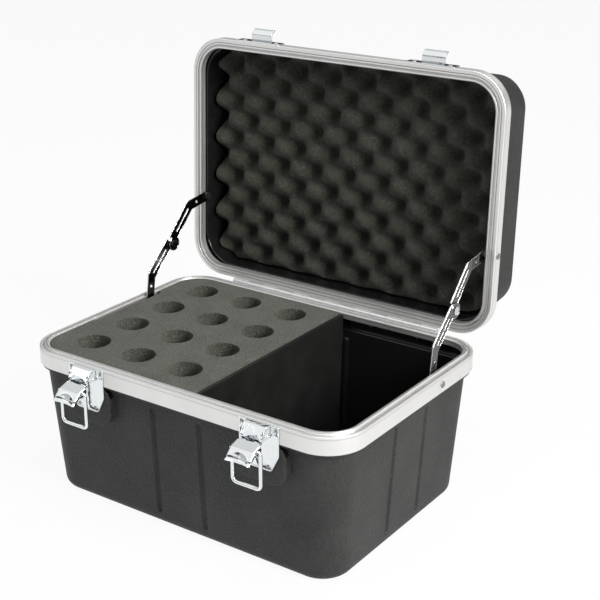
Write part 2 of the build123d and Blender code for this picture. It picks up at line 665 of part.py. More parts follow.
# ---- draw latches --------------------------------------------------------------------------
def plate_outline(side, shrink):
    """Rectangle over a taper, seen from the front."""
    half_top = PLATE_WIDTH / 2 - shrink
    half_low = PLATE_BOTTOM_WIDTH / 2 - shrink
    top = RIM - PLATE_TOP_DROP - shrink
    shoulder = RIM - PLATE_SHOULDER_DROP
    low = RIM - PLATE_BOTTOM_DROP + shrink
    points = [(-half_top, top), (half_top, top), (half_top, shoulder), (half_low, low),
              (-half_low, low), (-half_top, shoulder)]
    return Polygon(*[(side * LATCH_X + x, z) for x, z in points], align=None)


def latch_point(out, drop):
    """Y and Z of a point given outward from the face of the plate and below the rim plane."""
    return PLATE_FACE - out, RIM - drop


def lever_point(out, drop):
    return latch_point(LEVER_PIVOT_OUT + out, LEVER_PIVOT_DROP + drop)


def lever_outline(places):
    return Polygon(*[lever_point(out, drop) for out, drop in places], align=None)


def make_latch_plate(side):
    x = side * LATCH_X
    half = HOUSING_WIDTH / 2
    root = -PLATE_EMBOSS
    plate = xz_plate(plate_outline(side, 0), PLATE_FACE, FRONT)
    plate -= xz_plate(plate_outline(side, PLATE_BORDER), PLATE_FACE, PLATE_FACE + PLATE_EMBOSS)
    ear = Polygon(latch_point(root, HOUSING_TOP_DROP), latch_point(HOUSING_DEPTH, HOUSING_TOP_DROP),
                  latch_point(HOUSING_DEPTH, HOUSING_FRONT_BOTTOM_DROP),
                  latch_point(HOUSING_DEPTH - EAR_CHAMFER, EAR_BOTTOM_DROP),
                  latch_point(root, EAR_BOTTOM_DROP), align=None)
    for edge in (-1, 1):
        middle = x + edge * (half - HOUSING_WALL / 2)
        plate += yz_plate(ear, middle - HOUSING_WALL / 2, middle + HOUSING_WALL / 2)
    y_root, z_top = latch_point(root, HOUSING_TOP_DROP)
    y_front, z_bottom = latch_point(HOUSING_DEPTH, HOUSING_FRONT_BOTTOM_DROP)
    plate += block(x - half, x + half, y_front, y_front + HOUSING_WALL, z_bottom, z_top)
    plate += block(x - half, x + half, y_front, y_root, z_top - HOUSING_WALL, z_top)
    plate -= x_rod(LEVER_PIN_RADIUS + RIVET_CLEARANCE, x - half - 1, x + half + 1, *lever_point(0, 0))
    plate -= x_rod(STOP_PIN_RADIUS + RIVET_CLEARANCE, x - half - 1, x + half + 1,
                   *latch_point(STOP_PIN_OUT, STOP_PIN_DROP))
    for dx, drop in latch_rivet_places():
        plate -= front_hole(x + dx, RIM - drop, PLATE_FACE - 1, FRONT + 1, PLATE_RIVET_RADIUS)
    return plate


def headed_pin(radius, x_low, x_high, y, z):
    """A cross pin with a flat head at each end, outside the span it holds."""
    pin = x_rod(radius, x_low, x_high, y, z)
    pin += x_rod(radius + PIN_HEAD_LIP, x_low - PIN_HEAD_HEIGHT, x_low, y, z)
    return pin + x_rod(radius + PIN_HEAD_LIP, x_high, x_high + PIN_HEAD_HEIGHT, y, z)


def make_latch_pins(side):
    """The lever's pivot pin and the stop pin behind it, both held in the ears."""
    x = side * LATCH_X
    half = HOUSING_WIDTH / 2
    pivot = headed_pin(LEVER_PIN_RADIUS, x - half, x + half, *lever_point(0, 0))
    stop = headed_pin(STOP_PIN_RADIUS, x - half, x + half, *latch_point(STOP_PIN_OUT, STOP_PIN_DROP))
    return grouped([pivot, stop])


def bent_strip(points, thickness):
    """The section of a bent sheet: one face follows the points and the other lies on their right."""
    shifts = []
    for start, end in zip(points, points[1:]):
        length = math.dist(start, end)
        shifts.append((-(end[1] - start[1]) / length, (end[0] - start[0]) / length))
    back = []
    for i, point in enumerate(points):
        before = shifts[max(i - 1, 0)]
        after = shifts[min(i, len(shifts) - 1)]
        scale = thickness / (1 + before[0] * after[0] + before[1] * after[1])
        back.append((point[0] + (before[0] + after[0]) * scale, point[1] + (before[1] + after[1]) * scale))
    return list(points) + back[::-1]


def make_lever(side):
    """A bent sheet with narrow cheeks at the pivot and wide flanges around the bail sleeve."""
    x = side * LATCH_X
    inner_half = LEVER_INNER_WIDTH / 2
    outer_half = LEVER_OUTER_WIDTH / 2
    narrow = lever_outline(bent_strip([LEVER_FACE[0], LEVER_WIDE_START], LEVER_THICKNESS))
    wide = lever_outline(bent_strip([LEVER_WIDE_START] + LEVER_FACE[1:], LEVER_THICKNESS))
    lever = yz_plate(wide, x - outer_half, x + outer_half)
    lever += yz_plate(narrow, x - inner_half, x + inner_half)
    cheek = lever_outline(LEVER_CHEEK)
    barrel = Pos(*lever_point(0, 0)) * Circle(LEVER_BARREL_RADIUS)
    flange = lever_outline([LEVER_WIDE_START] + LEVER_FACE[1:] + LEVER_FLANGE_UNDERSIDE)
    for edge in (-1, 1):
        for outline, half in ((cheek, inner_half), (barrel, inner_half), (flange, outer_half)):
            middle = x + edge * (half - LEVER_THICKNESS / 2)
            lever += yz_plate(outline, middle - LEVER_THICKNESS / 2, middle + LEVER_THICKNESS / 2)
    lever -= x_rod(LEVER_PIN_RADIUS + PIVOT_CLEARANCE, x - outer_half, x + outer_half, *lever_point(0, 0))
    lever -= x_rod(SLEEVE_RADIUS + PIVOT_CLEARANCE, x - outer_half - 1, x + outer_half + 1,
                   *lever_point(SLEEVE_OUT, SLEEVE_DROP))
    y, z = lever_point(*LEVER_FACE[0])
    cutout = z_rod(LEVER_CUTOUT_RADIUS, x, y + LEVER_CUTOUT_RADIUS - LEVER_CUTOUT_DEPTH,
                   z - LEVER_CUTOUT_DEPTH, z + 1)
    return lever - cutout


def make_sleeve(side):
    """A tube that turns in the flanges of the lever and holds both ends of the bail."""
    x = side * LATCH_X
    half = LEVER_OUTER_WIDTH / 2 + SLEEVE_OVERHANG
    y, z = lever_point(SLEEVE_OUT, SLEEVE_DROP)
    tube = x_rod(SLEEVE_RADIUS, x - half, x + half, y, z)
    return tube - x_rod(BAIL_PIN_RADIUS + PIVOT_CLEARANCE, x - half, x + half, y, z)


def make_bail(side):
    """A wire loop: two legs, a crossbar and two bent-in ends."""
    x = side * LATCH_X
    y, z = lever_point(SLEEVE_OUT, SLEEVE_DROP)
    half = BAIL_LEG_SPACING / 2
    low = z - BAIL_LENGTH
    route = FilletPolyline((x - half, y, z), (x - half, y, low), (x + half, y, low), (x + half, y, z),
                           radius=BAIL_CORNER_RADIUS)
    wire = sweep(Plane((x - half, y, z), z_dir=(0, 0, -1)) * Circle(BAIL_WIRE_RADIUS), path=route)
    for edge in (-1, 1):
        x_leg = x + edge * half
        wire += Pos(x_leg, y, z) * Sphere(BAIL_WIRE_RADIUS)
        x_end = x_leg - edge * (BAIL_WIRE_RADIUS + BAIL_PIN_LENGTH)
        wire += x_rod(BAIL_PIN_RADIUS, min(x_leg, x_end), max(x_leg, x_end), y, z)
    return wire


def make_latch_rivets(side):
    rivets = []
    y_head = PLATE_FACE + PLATE_EMBOSS
    for dx, drop in latch_rivet_places():
        in_band = drop < BASE_BAND_HEIGHT
        y_tail = FRONT + (FLANGE_INNER_INSET if in_band else WALL)
        rivets.append(front_rivet(side * LATCH_X + dx, y_head, y_tail, RIM - drop,
                                  PLATE_RIVET_RADIUS, PLATE_RIVET_HEAD_RADIUS))
    return grouped(rivets)


# ---- keepers -------------------------------------------------------------------------------
def make_keeper(side):
    """A riveted plate with a tongue bent out and up into a hook for the bail."""
    x = side * LATCH_X
    plate = block(x - KEEPER_WIDTH / 2, x + KEEPER_WIDTH / 2, PLATE_FACE, FRONT, RIM + KEEPER_BOTTOM,
                  RIM + KEEPER_TOP)
    outside = [(-PLATE_EMBOSS, -HOOK_SHELF), (HOOK_REACH - HOOK_BEND, -HOOK_SHELF),
               (HOOK_REACH, -HOOK_SHELF - HOOK_BEND), (HOOK_REACH, -HOOK_TIP)]
    section = [(out, drop) for out, drop in bent_strip(outside, -HOOK_THICKNESS)]
    hook = Polygon(*[latch_point(out, drop) for out, drop in section], align=None)
    keeper = plate + yz_plate(hook, x - HOOK_WIDTH / 2, x + HOOK_WIDTH / 2)
    for dx, rise in keeper_rivet_places():
        keeper -= front_hole(x + dx, RIM + rise, PLATE_FACE - 1, FRONT + 1)
    return keeper


def make_keeper_rivets(side):
    y_tail = FRONT + FLANGE_INNER_INSET
    return grouped([front_rivet(side * LATCH_X + dx, PLATE_FACE, y_tail, RIM + rise)
                    for dx, rise in keeper_rivet_places()])


# ---- folding stays -------------------------------------------------------------------------
def stay_points():
    """Pivots and knuckle at the open stop, in Y and Z."""
    base = Vector(STAY_BASE_Y, RIM - STAY_BASE_DROP)
    lid = Vector(*opened_point(STAY_LID_Y, RIM + STAY_LID_RISE))
    along = (lid - base).normalized()
    across = Vector(-along.Y, along.X)
    knuckle = (base + lid) * 0.5 + across * STAY_OFFSET
    return base, lid, knuckle


def turned(vector, degrees):
    angle = math.radians(degrees)
    return Vector(vector.X * math.cos(angle) - vector.Y * math.sin(angle),
                  vector.X * math.sin(angle) + vector.Y * math.cos(angle))


def bar_outline(start, end, width):
    along = (end - start).normalized()
    across = Vector(-along.Y, along.X) * (width / 2)
    corners = [start + across, start - across, end - across, end + across]
    return Polygon(*[(c.X, c.Y) for c in corners], align=None)


def disc_outline(centre, radius):
    return Pos(centre.X, centre.Y) * Circle(radius)


def slot_outline(start, end, width):
    return (bar_outline(start, end, width) + disc_outline(start, width / 2)
            + disc_outline(end, width / 2))


def link_outline(pivot, knuckle, side):
    """A cranked flat link: a short end at the pivot, a slotted bar and a knuckle disc."""
    kink_way = turned((knuckle - pivot).normalized(), side * STAY_KINK_ANGLE)
    kink = pivot + kink_way * STAY_KINK_REACH
    to_knuckle = (knuckle - kink).normalized()
    across = Vector(-to_knuckle.Y, to_knuckle.X) * side
    bar_end = knuckle + across * STAY_BAR_OFFSET - to_knuckle * STAY_BAR_SETBACK
    bar_way = (bar_end - kink).normalized()
    outline = bar_outline(pivot, kink, STAY_END_WIDTH) + bar_outline(kink, bar_end, STAY_WIDTH)
    outline += disc_outline(pivot, STAY_END_WIDTH / 2) + disc_outline(kink, STAY_END_WIDTH / 2)
    outline += disc_outline(knuckle, STAY_KNUCKLE_RADIUS)
    outline -= slot_outline(kink + bar_way * STAY_SLOT_START, bar_end - bar_way * STAY_SLOT_END,
                            STAY_SLOT_WIDTH)
    return outline - disc_outline(pivot + kink_way * STAY_HOLE_REACH, STAY_HOLE_RADIUS)


def stay_planes():
    """X of the faces of the knuckle head, lower link, upper link and cap, outermost first."""
    head = STAY_LIP_X - STAY_WALL_GAP
    lower = head - STAY_HEAD
    lower_inner = lower - STAY_LINK_THICKNESS
    upper = lower_inner - STAY_LINK_GAP
    upper_inner = upper - STAY_LINK_THICKNESS
    cap = upper_inner - STAY_HEAD
    return head, lower, lower_inner, upper, upper_inner, cap


def make_stay_link(pivot, knuckle, side, inner, outer):
    link = yz_plate(link_outline(pivot, knuckle, side), inner, outer)
    link -= x_rod(STAY_PIN_RADIUS + PIVOT_CLEARANCE, inner, outer, pivot.X, pivot.Y)
    return link - x_rod(STAY_PIN_RADIUS + RIVET_CLEARANCE, inner, outer, knuckle.X, knuckle.Y)


def make_knuckle_half(knuckle, pin_inner, pin_outer, head_inner, head_outer):
    """Half of the knuckle rivet: a pin through one link and its head outside it."""
    half = x_rod(STAY_PIN_RADIUS, pin_inner, pin_outer, knuckle.X, knuckle.Y)
    return half + x_rod(STAY_PIN_HEAD_RADIUS, head_inner, head_outer, knuckle.X, knuckle.Y)


def make_stay_stud(y, z, inner, outer, seat):
    """Riveted through a band from the seat out; the link turns between its shoulder and its head."""
    stud = x_rod(STAY_STUD_RADIUS, outer + STAY_END_PLAY, seat, y, z)
    stud += x_rod(RIVET_RADIUS, seat, SIDE, y, z)
    stud += x_rod(RIVET_HEAD_RADIUS, SIDE, SIDE + RIVET_HEAD_HEIGHT, y, z)
    stud += x_rod(STAY_PIN_RADIUS, inner - STAY_END_PLAY, outer + STAY_END_PLAY, y, z)
    head_face = inner - STAY_END_PLAY
    return stud + x_rod(STAY_PIN_HEAD_RADIUS, head_face - STAY_HEAD, head_face, y, z)


def make_stay():
    """All nodes of the right stay; the lower link is the outer one."""
    base, lid, knuckle = stay_points()
    head, lower, lower_inner, upper, upper_inner, cap = stay_planes()
    lid_y, lid_z = STAY_LID_Y, RIM + STAY_LID_RISE
    return {
        "stay_lower_link_": make_stay_link(base, knuckle, 1, lower_inner, lower),
        "stay_upper_link_": make_stay_link(lid, knuckle, -1, upper_inner, upper),
        "stay_knuckle_rivet_": make_knuckle_half(knuckle, lower_inner, lower, lower, head),
        "stay_knuckle_cap_": make_knuckle_half(knuckle, upper_inner, upper, cap, upper_inner),
        "stay_base_stud_": make_stay_stud(base.X, base.Y, lower_inner, lower, SIDE - FLANGE_INNER_INSET),
        "stay_lid_stud_": opened(make_stay_stud(lid_y, lid_z, upper_inner, upper, STAY_LIP_X)),
    }


# ---- carrying handle -----------------------------------------------------------------------
def handle_rivet_places():
    x = HANDLE_SPAN / 2 + BRACKET_RIVET_REACH
    y = BRACKET_RIVET_SPACING / 2
    return [(side * x, HANDLE_Y + step * y) for side in (-1, 1) for step in (-1, 1)]


def handle_holes():
    z_low = LID_TOP - 2 * WALL
    z_high = LID_TOP + 2 * BRACKET_THICKNESS
    return [z_rod(RIVET_RADIUS + RIVET_CLEARANCE, x, y, z_low, z_high) for x, y in handle_rivet_places()]


def backing_block(side, margin, z_low):
    """The place of a backing plate under the lid, grown by a margin."""
    x = side * (HANDLE_SPAN / 2 + BRACKET_RIVET_REACH)
    half_width = BACKING_PLATE_WIDTH / 2 + margin
    half_length = BACKING_PLATE_LENGTH / 2 + margin
    return block(x - half_width, x + half_width, HANDLE_Y - half_length, HANDLE_Y + half_length, z_low,
                 LID_TOP - WALL)


def backing_plate_space():
    low = LID_TOP - WALL - BACKING_PLATE_THICKNESS - FOAM_CLEARANCE - RIVET_HEAD_HEIGHT
    return [backing_block(side, FOAM_CLEARANCE, low) for side in (-1, 1)]


def make_backing_plate(side):
    plate = backing_block(side, 0, LID_TOP - WALL - BACKING_PLATE_THICKNESS)
    for hole in handle_holes():
        plate -= hole
    return plate


def make_handle_bracket(side):
    """A foot on the lid with two ears that hold the end of the handle."""
    x_pivot = side * HANDLE_SPAN / 2
    z = LID_TOP + HANDLE_PIVOT_RISE
    inside = HANDLE_ARM_THICKNESS / 2 + HANDLE_SIDE_PLAY
    x_far = x_pivot + side * BRACKET_REACH
    x_near = x_pivot - side * (inside + BRACKET_THICKNESS)
    half_width = BRACKET_WIDTH / 2
    bracket = block(min(x_near, x_far), max(x_near, x_far), HANDLE_Y - half_width, HANDLE_Y + half_width,
                    LID_TOP, LID_TOP + BRACKET_THICKNESS)
    root = half_width - BRACKET_EAR_MARGIN
    z_root = LID_TOP + BRACKET_THICKNESS / 2
    ear = Pos(HANDLE_Y, z) * Circle(BRACKET_EAR_RADIUS)
    ear += Polygon((HANDLE_Y - BRACKET_EAR_RADIUS, z), (HANDLE_Y + BRACKET_EAR_RADIUS, z),
                   (HANDLE_Y + root, z_root), (HANDLE_Y - root, z_root), align=None)
    for edge in (-1, 1):
        middle = x_pivot + edge * (inside + BRACKET_THICKNESS / 2)
        bracket += yz_plate(ear, middle - BRACKET_THICKNESS / 2, middle + BRACKET_THICKNESS / 2)
    reach = inside + 2 * BRACKET_THICKNESS
    bracket -= x_rod(HANDLE_PIN_RADIUS + RIVET_CLEARANCE, x_pivot - reach, x_pivot + reach, HANDLE_Y, z)
    for hole in handle_holes():
        bracket -= hole
    return bracket


def make_handle_pin(side):
    x = side * HANDLE_SPAN / 2
    half = HANDLE_ARM_THICKNESS / 2 + HANDLE_SIDE_PLAY + BRACKET_THICKNESS
    z = LID_TOP + HANDLE_PIVOT_RISE
    pin = x_rod(HANDLE_PIN_RADIUS, x - half, x + half, HANDLE_Y, z)
    for low, high in ((x + half, x + half + HANDLE_PIN_HEAD), (x - half - HANDLE_PIN_HEAD, x - half)):
        pin += x_rod(HANDLE_PIN_RADIUS + HANDLE_PIN_LIP, low, high, HANDLE_Y, z)
    return pin


def make_handle_rivets():
    rivets = []
    z_head = LID_TOP + BRACKET_THICKNESS
    z_tail = LID_TOP - WALL - BACKING_PLATE_THICKNESS
    for x, y in handle_rivet_places():
        rivet = z_rod(RIVET_RADIUS, x, y, z_tail, z_head)
        rivet += z_rod(RIVET_HEAD_RADIUS, x, y, z_head, z_head + RIVET_HEAD_HEIGHT)
        rivet += z_rod(RIVET_HEAD_RADIUS, x, y, z_tail - RIVET_HEAD_HEIGHT, z_tail)
        rivets.append(rivet)
    return grouped(rivets)


def make_handle_grip():
    """A moulded bow that lies on the lid and points towards the hinge."""
    z = LID_TOP + HANDLE_PIVOT_RISE
    z_grip = LID_TOP + HANDLE_GRIP_RADIUS + HANDLE_REST_GAP
    y_grip = HANDLE_Y + HANDLE_REACH
    half = HANDLE_SPAN / 2
    arm_half = HANDLE_ARM_THICKNESS / 2
    grip = x_rod(HANDLE_GRIP_RADIUS, arm_half - half, half - arm_half, y_grip, z_grip)
    arm = Polygon((HANDLE_Y, z - HANDLE_ARM_WIDTH / 2), (HANDLE_Y, z + HANDLE_ARM_WIDTH / 2),
                  (y_grip, z_grip + HANDLE_GRIP_RADIUS), (y_grip, z_grip - HANDLE_GRIP_RADIUS), align=None)
    for side in (-1, 1):
        x = side * half
        grip += x_rod(HANDLE_ARM_WIDTH / 2, x - arm_half, x + arm_half, HANDLE_Y, z)
        grip += yz_plate(arm, x - arm_half, x + arm_half)
        grip += x_rod(HANDLE_GRIP_RADIUS, x - arm_half, x + arm_half, y_grip, z_grip)
        x_inner = x - side * arm_half
        x_middle = x_inner - side * HANDLE_ELBOW_WIDTH
        elbow = Polygon((x_inner, y_grip - HANDLE_ELBOW_LENGTH), (x_middle, y_grip), (x_inner, y_grip),
                        align=None)
        brace = extrude(elbow, HANDLE_ELBOW_THICKNESS, dir=(0, 0, 1))
        grip += Pos(0, 0, z_grip - HANDLE_ELBOW_THICKNESS / 2) * brace
    return grip - x_rod(HANDLE_PIN_RADIUS + PIVOT_CLEARANCE, -SIDE, SIDE, HANDLE_Y, z)


# ---- all nodes -----------------------------------------------------------------------------
def make_parts():
    parts = {
        "base_shell": make_base_shell(),
        "base_frame": make_base_frame(),
        "foam_insert": make_foam_insert(),
        "foam_base_pad": make_foam_base_pad(),
        "divider_panel": make_divider(),
        "hinge_base_leaf": hinge_leaf(-1, 0),
        "hinge_pin": make_hinge_pin(),
        "hinge_base_rivets": make_hinge_rivets(-1),
        "lid_shell": opened(make_lid_shell()),
        "lid_frame": opened(make_lid_frame()),
        "lid_foam": opened(make_lid_foam()),
        "hinge_lid_leaf": opened(hinge_leaf(1, 1)),
        "hinge_lid_rivets": opened(make_hinge_rivets(1)),
        "handle_grip": opened(make_handle_grip()),
        "handle_rivets": opened(make_handle_rivets()),
    }
    for name, side in (("left", -1), ("right", 1)):
        parts["latch_plate_" + name] = make_latch_plate(side)
        parts["latch_rivets_" + name] = make_latch_rivets(side)
        parts["latch_pins_" + name] = make_latch_pins(side)
        parts["latch_lever_" + name] = make_lever(side)
        parts["latch_sleeve_" + name] = make_sleeve(side)
        parts["latch_bail_" + name] = make_bail(side)
        parts["keeper_" + name] = opened(make_keeper(side))
        parts["keeper_rivets_" + name] = opened(make_keeper_rivets(side))
        parts["handle_bracket_" + name] = opened(make_handle_bracket(side))
        parts["handle_pin_" + name] = opened(make_handle_pin(side))
        parts["handle_backing_" + name] = opened(make_backing_plate(side))
        for prefix, shape in make_stay().items():
            parts[prefix + name] = shape if side > 0 else mirrored(shape)
    return parts


os.makedirs("parts", exist_ok=True)
for node, shape in make_parts().items():
    export_step(shape, "parts/" + node + ".step")
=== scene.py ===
"""Looks of the microphone case: finishes, foam, latches, stays, rivets, light and camera.

Everything is in metres, in the frame of the solids. Shapes of the lid are made closed and swung open.
"""
import json
import math

import bmesh
import bpy
from mathutils import Matrix, Vector


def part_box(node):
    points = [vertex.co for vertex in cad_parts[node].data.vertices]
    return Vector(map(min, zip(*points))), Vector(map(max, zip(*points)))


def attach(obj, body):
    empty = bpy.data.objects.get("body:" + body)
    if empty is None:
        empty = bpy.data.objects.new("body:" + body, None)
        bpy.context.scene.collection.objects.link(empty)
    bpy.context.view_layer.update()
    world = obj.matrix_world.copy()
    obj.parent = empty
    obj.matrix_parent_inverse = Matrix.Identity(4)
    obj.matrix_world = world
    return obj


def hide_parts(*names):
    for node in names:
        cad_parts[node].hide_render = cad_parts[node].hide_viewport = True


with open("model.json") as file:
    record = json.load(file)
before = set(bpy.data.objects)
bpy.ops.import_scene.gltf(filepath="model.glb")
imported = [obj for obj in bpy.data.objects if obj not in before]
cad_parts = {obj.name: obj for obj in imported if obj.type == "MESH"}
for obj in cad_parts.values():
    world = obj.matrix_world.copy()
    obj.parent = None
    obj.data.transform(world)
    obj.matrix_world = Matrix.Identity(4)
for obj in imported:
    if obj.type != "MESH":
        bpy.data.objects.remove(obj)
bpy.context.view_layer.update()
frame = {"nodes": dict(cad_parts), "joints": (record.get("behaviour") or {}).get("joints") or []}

MM = 0.001
SIDES = (("left", -1), ("right", 1))

# ---- places read from the frame --------------------------------------------------------------
JOINTS = {joint["name"]: joint for joint in frame["joints"]}
HINGE = Vector(JOINTS["lid_hinge"]["pos_m"])
OPEN_ANGLE = math.radians(JOINTS["lid_hinge"]["range_deg"][1])
RIM = HINGE.z
SWING = Matrix.Translation(HINGE) @ Matrix.Rotation(-OPEN_ANGLE, 4, "X") @ Matrix.Translation(-HINGE)
FRAME_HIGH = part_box("base_frame")[1]
HALF_WIDTH = FRAME_HIGH.x
HALF_DEPTH = FRAME_HIGH.y
FRAME_CORNER = 39.5 * MM            # radius of the frame's outer corners, seen from above
FOAM_LOW, FOAM_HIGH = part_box("foam_insert")

# ---- finishes --------------------------------------------------------------------------------
FACE_WIDTH = 10.8 * MM              # inset over which the grooves of the frame's face, with their painted shade, are spread
FACE_GROOVE_SHADE = ((0.0, 1.0), (0.34, 1.0), (0.37, 0.25), (0.42, 0.25), (0.45, 1.0), (0.60, 0.95), (0.64, 0.55),
              (0.72, 0.55), (0.76, 1.0), (0.93, 1.0), (0.97, 0.4))      # place, tone; a tone below 1 is painted shade in a groove
BAND_HEIGHT = 24.0 * MM             # drop over which the grooves of its band, with their painted shade, are spread
BAND_GROOVE_SHADE = ((0.0, 1.0), (0.08, 1.0), (0.10, 0.72), (0.12, 0.72), (0.14, 1.0), (0.80, 1.0), (0.83, 0.8),
              (0.86, 0.8), (0.88, 1.0))
WALL_LEAN = 0.047                   # of the shell walls, inward for each unit away from the rim
WALL_REACH = 8.5 * MM               # steep flanks nearer than this to the frame's outline are outside
SURE_FACING = 0.25                  # above it a face certainly looks out of the shell
SHELL_LOW = (0.012, 0.0134, 0.0128)     # darkest and lightest tones of the outside
SHELL_HIGH = (0.040, 0.043, 0.0412)
SHELL_SOFTNESS = 2.2 * MM           # radius of the softened edges
FRAME_SOFTNESS = 0.7 * MM
CREVICE_SHADE_REACH = 3.5 * MM                  # reach of the painted shade in corners of plated parts

# ---- lid foam --------------------------------------------------------------------------------
BUMP_PITCH = 43.7 * MM          # tip to tip along a column
BUMP_DEPTH = 24.0 * MM          # tips to valleys
BUMP_POWER = 1.22               # above 1 it widens the tips
BUMP_UNEVENNESS = 2.5 * MM
UNEVENNESS_SCALE = 16.0
TIP_SETBACK = 20.0 * MM         # of a tip at the left edge, forward of the foam's middle
LID_FOAM_GAP = 1.5 * MM         # to the solid's front and back
LID_FOAM_CORNER = 30.0 * MM
LID_FOAM_ROWS = 150
LID_FOAM_COLUMNS = 190

# ---- base foam -------------------------------------------------------------------------------
HOLE_RADIUS = 17.75 * MM
HOLE_PITCH_X = 60.8 * MM
HOLE_PITCH_Y = 59.2 * MM
HOLE_COLUMNS = 3
HOLE_ROWS = 4
LAST_HOLE_X = -20.0 * MM
WELL_MARGIN = 2.0 * MM          # round the wells, where the block stays upright
FOAM_EDGE = 0.8 * MM
FOAM_LEAN_X = 8.8 * MM
FOAM_LEAN_Y = 6.2 * MM
PAD_CORNER = 24                 # radius at the walls, in millimetres
PAD_EDGE = 1.2 * MM
PAD_LEAN_X = 0.06               # shares by which its underside is smaller
PAD_LEAN_Y = 0.05

# ---- rivets ----------------------------------------------------------------------------------
RIVET_HEAD = 1.0 * MM           # height of a head
RIVET_PROFILE = ((0, 1.0), (0.28, 0.97), (0.55, 0.86), (0.74, 0.66), (0.84, 0.42), (0.87, 0.24),
                 (0.97, 0.2), (1.0, 0.12), (1.0, 0.0), (0, 0.0))    # shares of its radius and height

# ---- latches, in millimetres: across, out from the face of the plate, and up from the rim ----
LATCH_X = JOINTS["lever_pivot_right"]["pos_m"][0]
LEVER_PIVOT = Vector(JOINTS["lever_pivot_right"]["pos_m"])
SLEEVE = Vector(JOINTS["sleeve_turn_right"]["pos_m"])
PLATE_THICKNESS = 1.2 * MM
PLATE_FACE = -HALF_DEPTH - PLATE_THICKNESS
SHEET = 1.2 * MM
PLATE_CORNERS = ((-22.6, -1, 1.2), (22.6, -1, 1.2), (22.6, -31, 6), (14, -48, 4), (-14, -48, 4),
                 (-22.6, -31, 6))
PLATE_BORDER = 1.7                  # width of its raised rim
PLATE_FIELD_DEPTH = 0.45 * MM
BORDER_LOW = -0.9 * MM              # foot and top of the rim, from the face of the plate
BORDER_HIGH = 0.1 * MM
BORDER_ROUND = 0.45 * MM
SHEET_ROUND = 0.2 * MM              # edges of the pressed parts
HOUSING_HALF = 13.0
HOUSING_DEPTH = 12.2
FRONT_BOTTOM = -10.3
HOUSING_PROFILE = ((0, -1.0, 0), (5.4, -1.5, 1.8), (HOUSING_DEPTH, FRONT_BOTTOM, 0))     # out, up, bend
HOUSING_CORNER = 1.6
HOUSING_STEP = 1.2 * MM             # between the points across it
EAR_SINK = 0.4                      # of the ears into the plate
EAR_BOTTOM = -13.5
EAR_ROUND = 4.2
FRONT_ARCH = (8.6, 2.6)             # half width and height of the arch in its lower edge
FRONT_ROWS = 14                     # rows of faces down its front
STOP_PIN = (2.6, -11.4)
PIVOT_END = (2.3, 0.5)              # radius and stand of the ends of the pivot pin
STOP_END = (1.9, 0.7)
TUBE_PROFILE = ((0, 0, -1.0), (0.42, 0, -1.0), (0.5, 0.3, 0), (0.66, 1.0, 0), (0.88, 0.85, 0),
                (1.0, 0.3, 0), (1.0, 0, -0.3), (0, 0, -1.2))   # shares of radius and stand, depth
STUD_PROFILE = ((0, 1.0, 0), (0.5, 0.88, 0), (0.85, 0.5, 0), (1.0, 0, 0), (1.0, 0, -0.5), (0, 0, -0.6))
LEVER_FACE = ((1.7, 6.8, 0), (16.2, 11.3, 1.1), (22.5, 17.3, 3.0), (23.2, 21.4, 0))   # out, drop, bend
LEVER_ROOT_HALF = 11.6
LEVER_HALF = 13.7
LEVER_SHOULDER = (3.0, 5.0)         # way along the face where the flanges begin
LEVER_FOLD = 1.9
LEVER_NOTCH = (7.6, 4.6)            # half width and depth of the cut-out at the root
NOTCH_FADE = 9.0                    # way along the face over which it ends
LEVER_STEP = 0.7                    # between the rows of points along the face
LEVER_EYE = 2.2 * MM                # radius of the eye at the pivot
FLANGE_DEPTHS = ((0, 0.4), (3.0, 1.0), (5.6, 5.4), (9.0, 7.6), (12.5, 7.0), (16.5, 5.0), (20.5, 3.6),
                 (25.0, 2.2), (28.5, 0.9))
SCOOP_HALF = 11.6
SCOOP_LENGTH = 9.6
SCOOP_RISE = 0.4                    # of its middle above the lip
SCOOP_DEPTH = 2.1
LIP_LENGTH = 4.2
LIP_CURL = 2.4
LEVER_CHEEK = ((1.6, 1.5, 0.8), (0.2, 4.4, 1.0), (1.7, 6.8, 0.2), (7.0, 8.4, 0.5), (6.4, 10.4, 0.5),
               (2.5, 9.2, 1.5), (-1.2, 4.5, 2.0), (-2.0, 0.8, 1.0))
BAIL_WIRE = 1.9 * MM                # radius
BAIL_ROUTE = ((-9, 0, 0), (-16, 0, 2.8), (-16, -37, 4.8), (16, -37, 4.8), (16, 0, 2.8), (9, 0, 0))
KEEPER_CORNERS = ((-28.5, 0.6, 1.2), (28.5, 0.6, 1.2), (28.5, 13.6, 2.2), (-28.5, 13.6, 2.2))
KEEPER_ROUND = 0.35 * MM
HOOK_HALF = 13.2 * MM
HOOK_SECTION = ((-0.4, 8.8, 0), (7.5, 8.8, 5.2), (12, 13.3, 5.2), (12, 16.3, 0.8), (10.2, 16.3, 0.8),
                (10.2, 14.0, 3.4), (6.8, 10.6, 3.4), (-0.4, 10.6, 0))

# ---- stays -----------------------------------------------------------------------------------
RIM_BEAD = 0.6 * MM                 # half width of the bead along a link
WEB_SINK = 0.3 * RIM_BEAD           # of the web below the bead
LINK_ROUND = 0.25 * MM
SLOT_LIP = 0.9 * MM                 # folded lip that narrows a slot
SLOT_LENGTH = 12 * MM               # holes longer than this are slots

# ---- camera ----------------------------------------------------------------------------------
CAMERA_PLACE = Vector((0.7514, -0.9905, 0.6911))
CAMERA_AZIMUTH = math.radians(35.056)
CAMERA_ELEVATION = math.radians(21.143)
CAMERA_LENS = 78.87

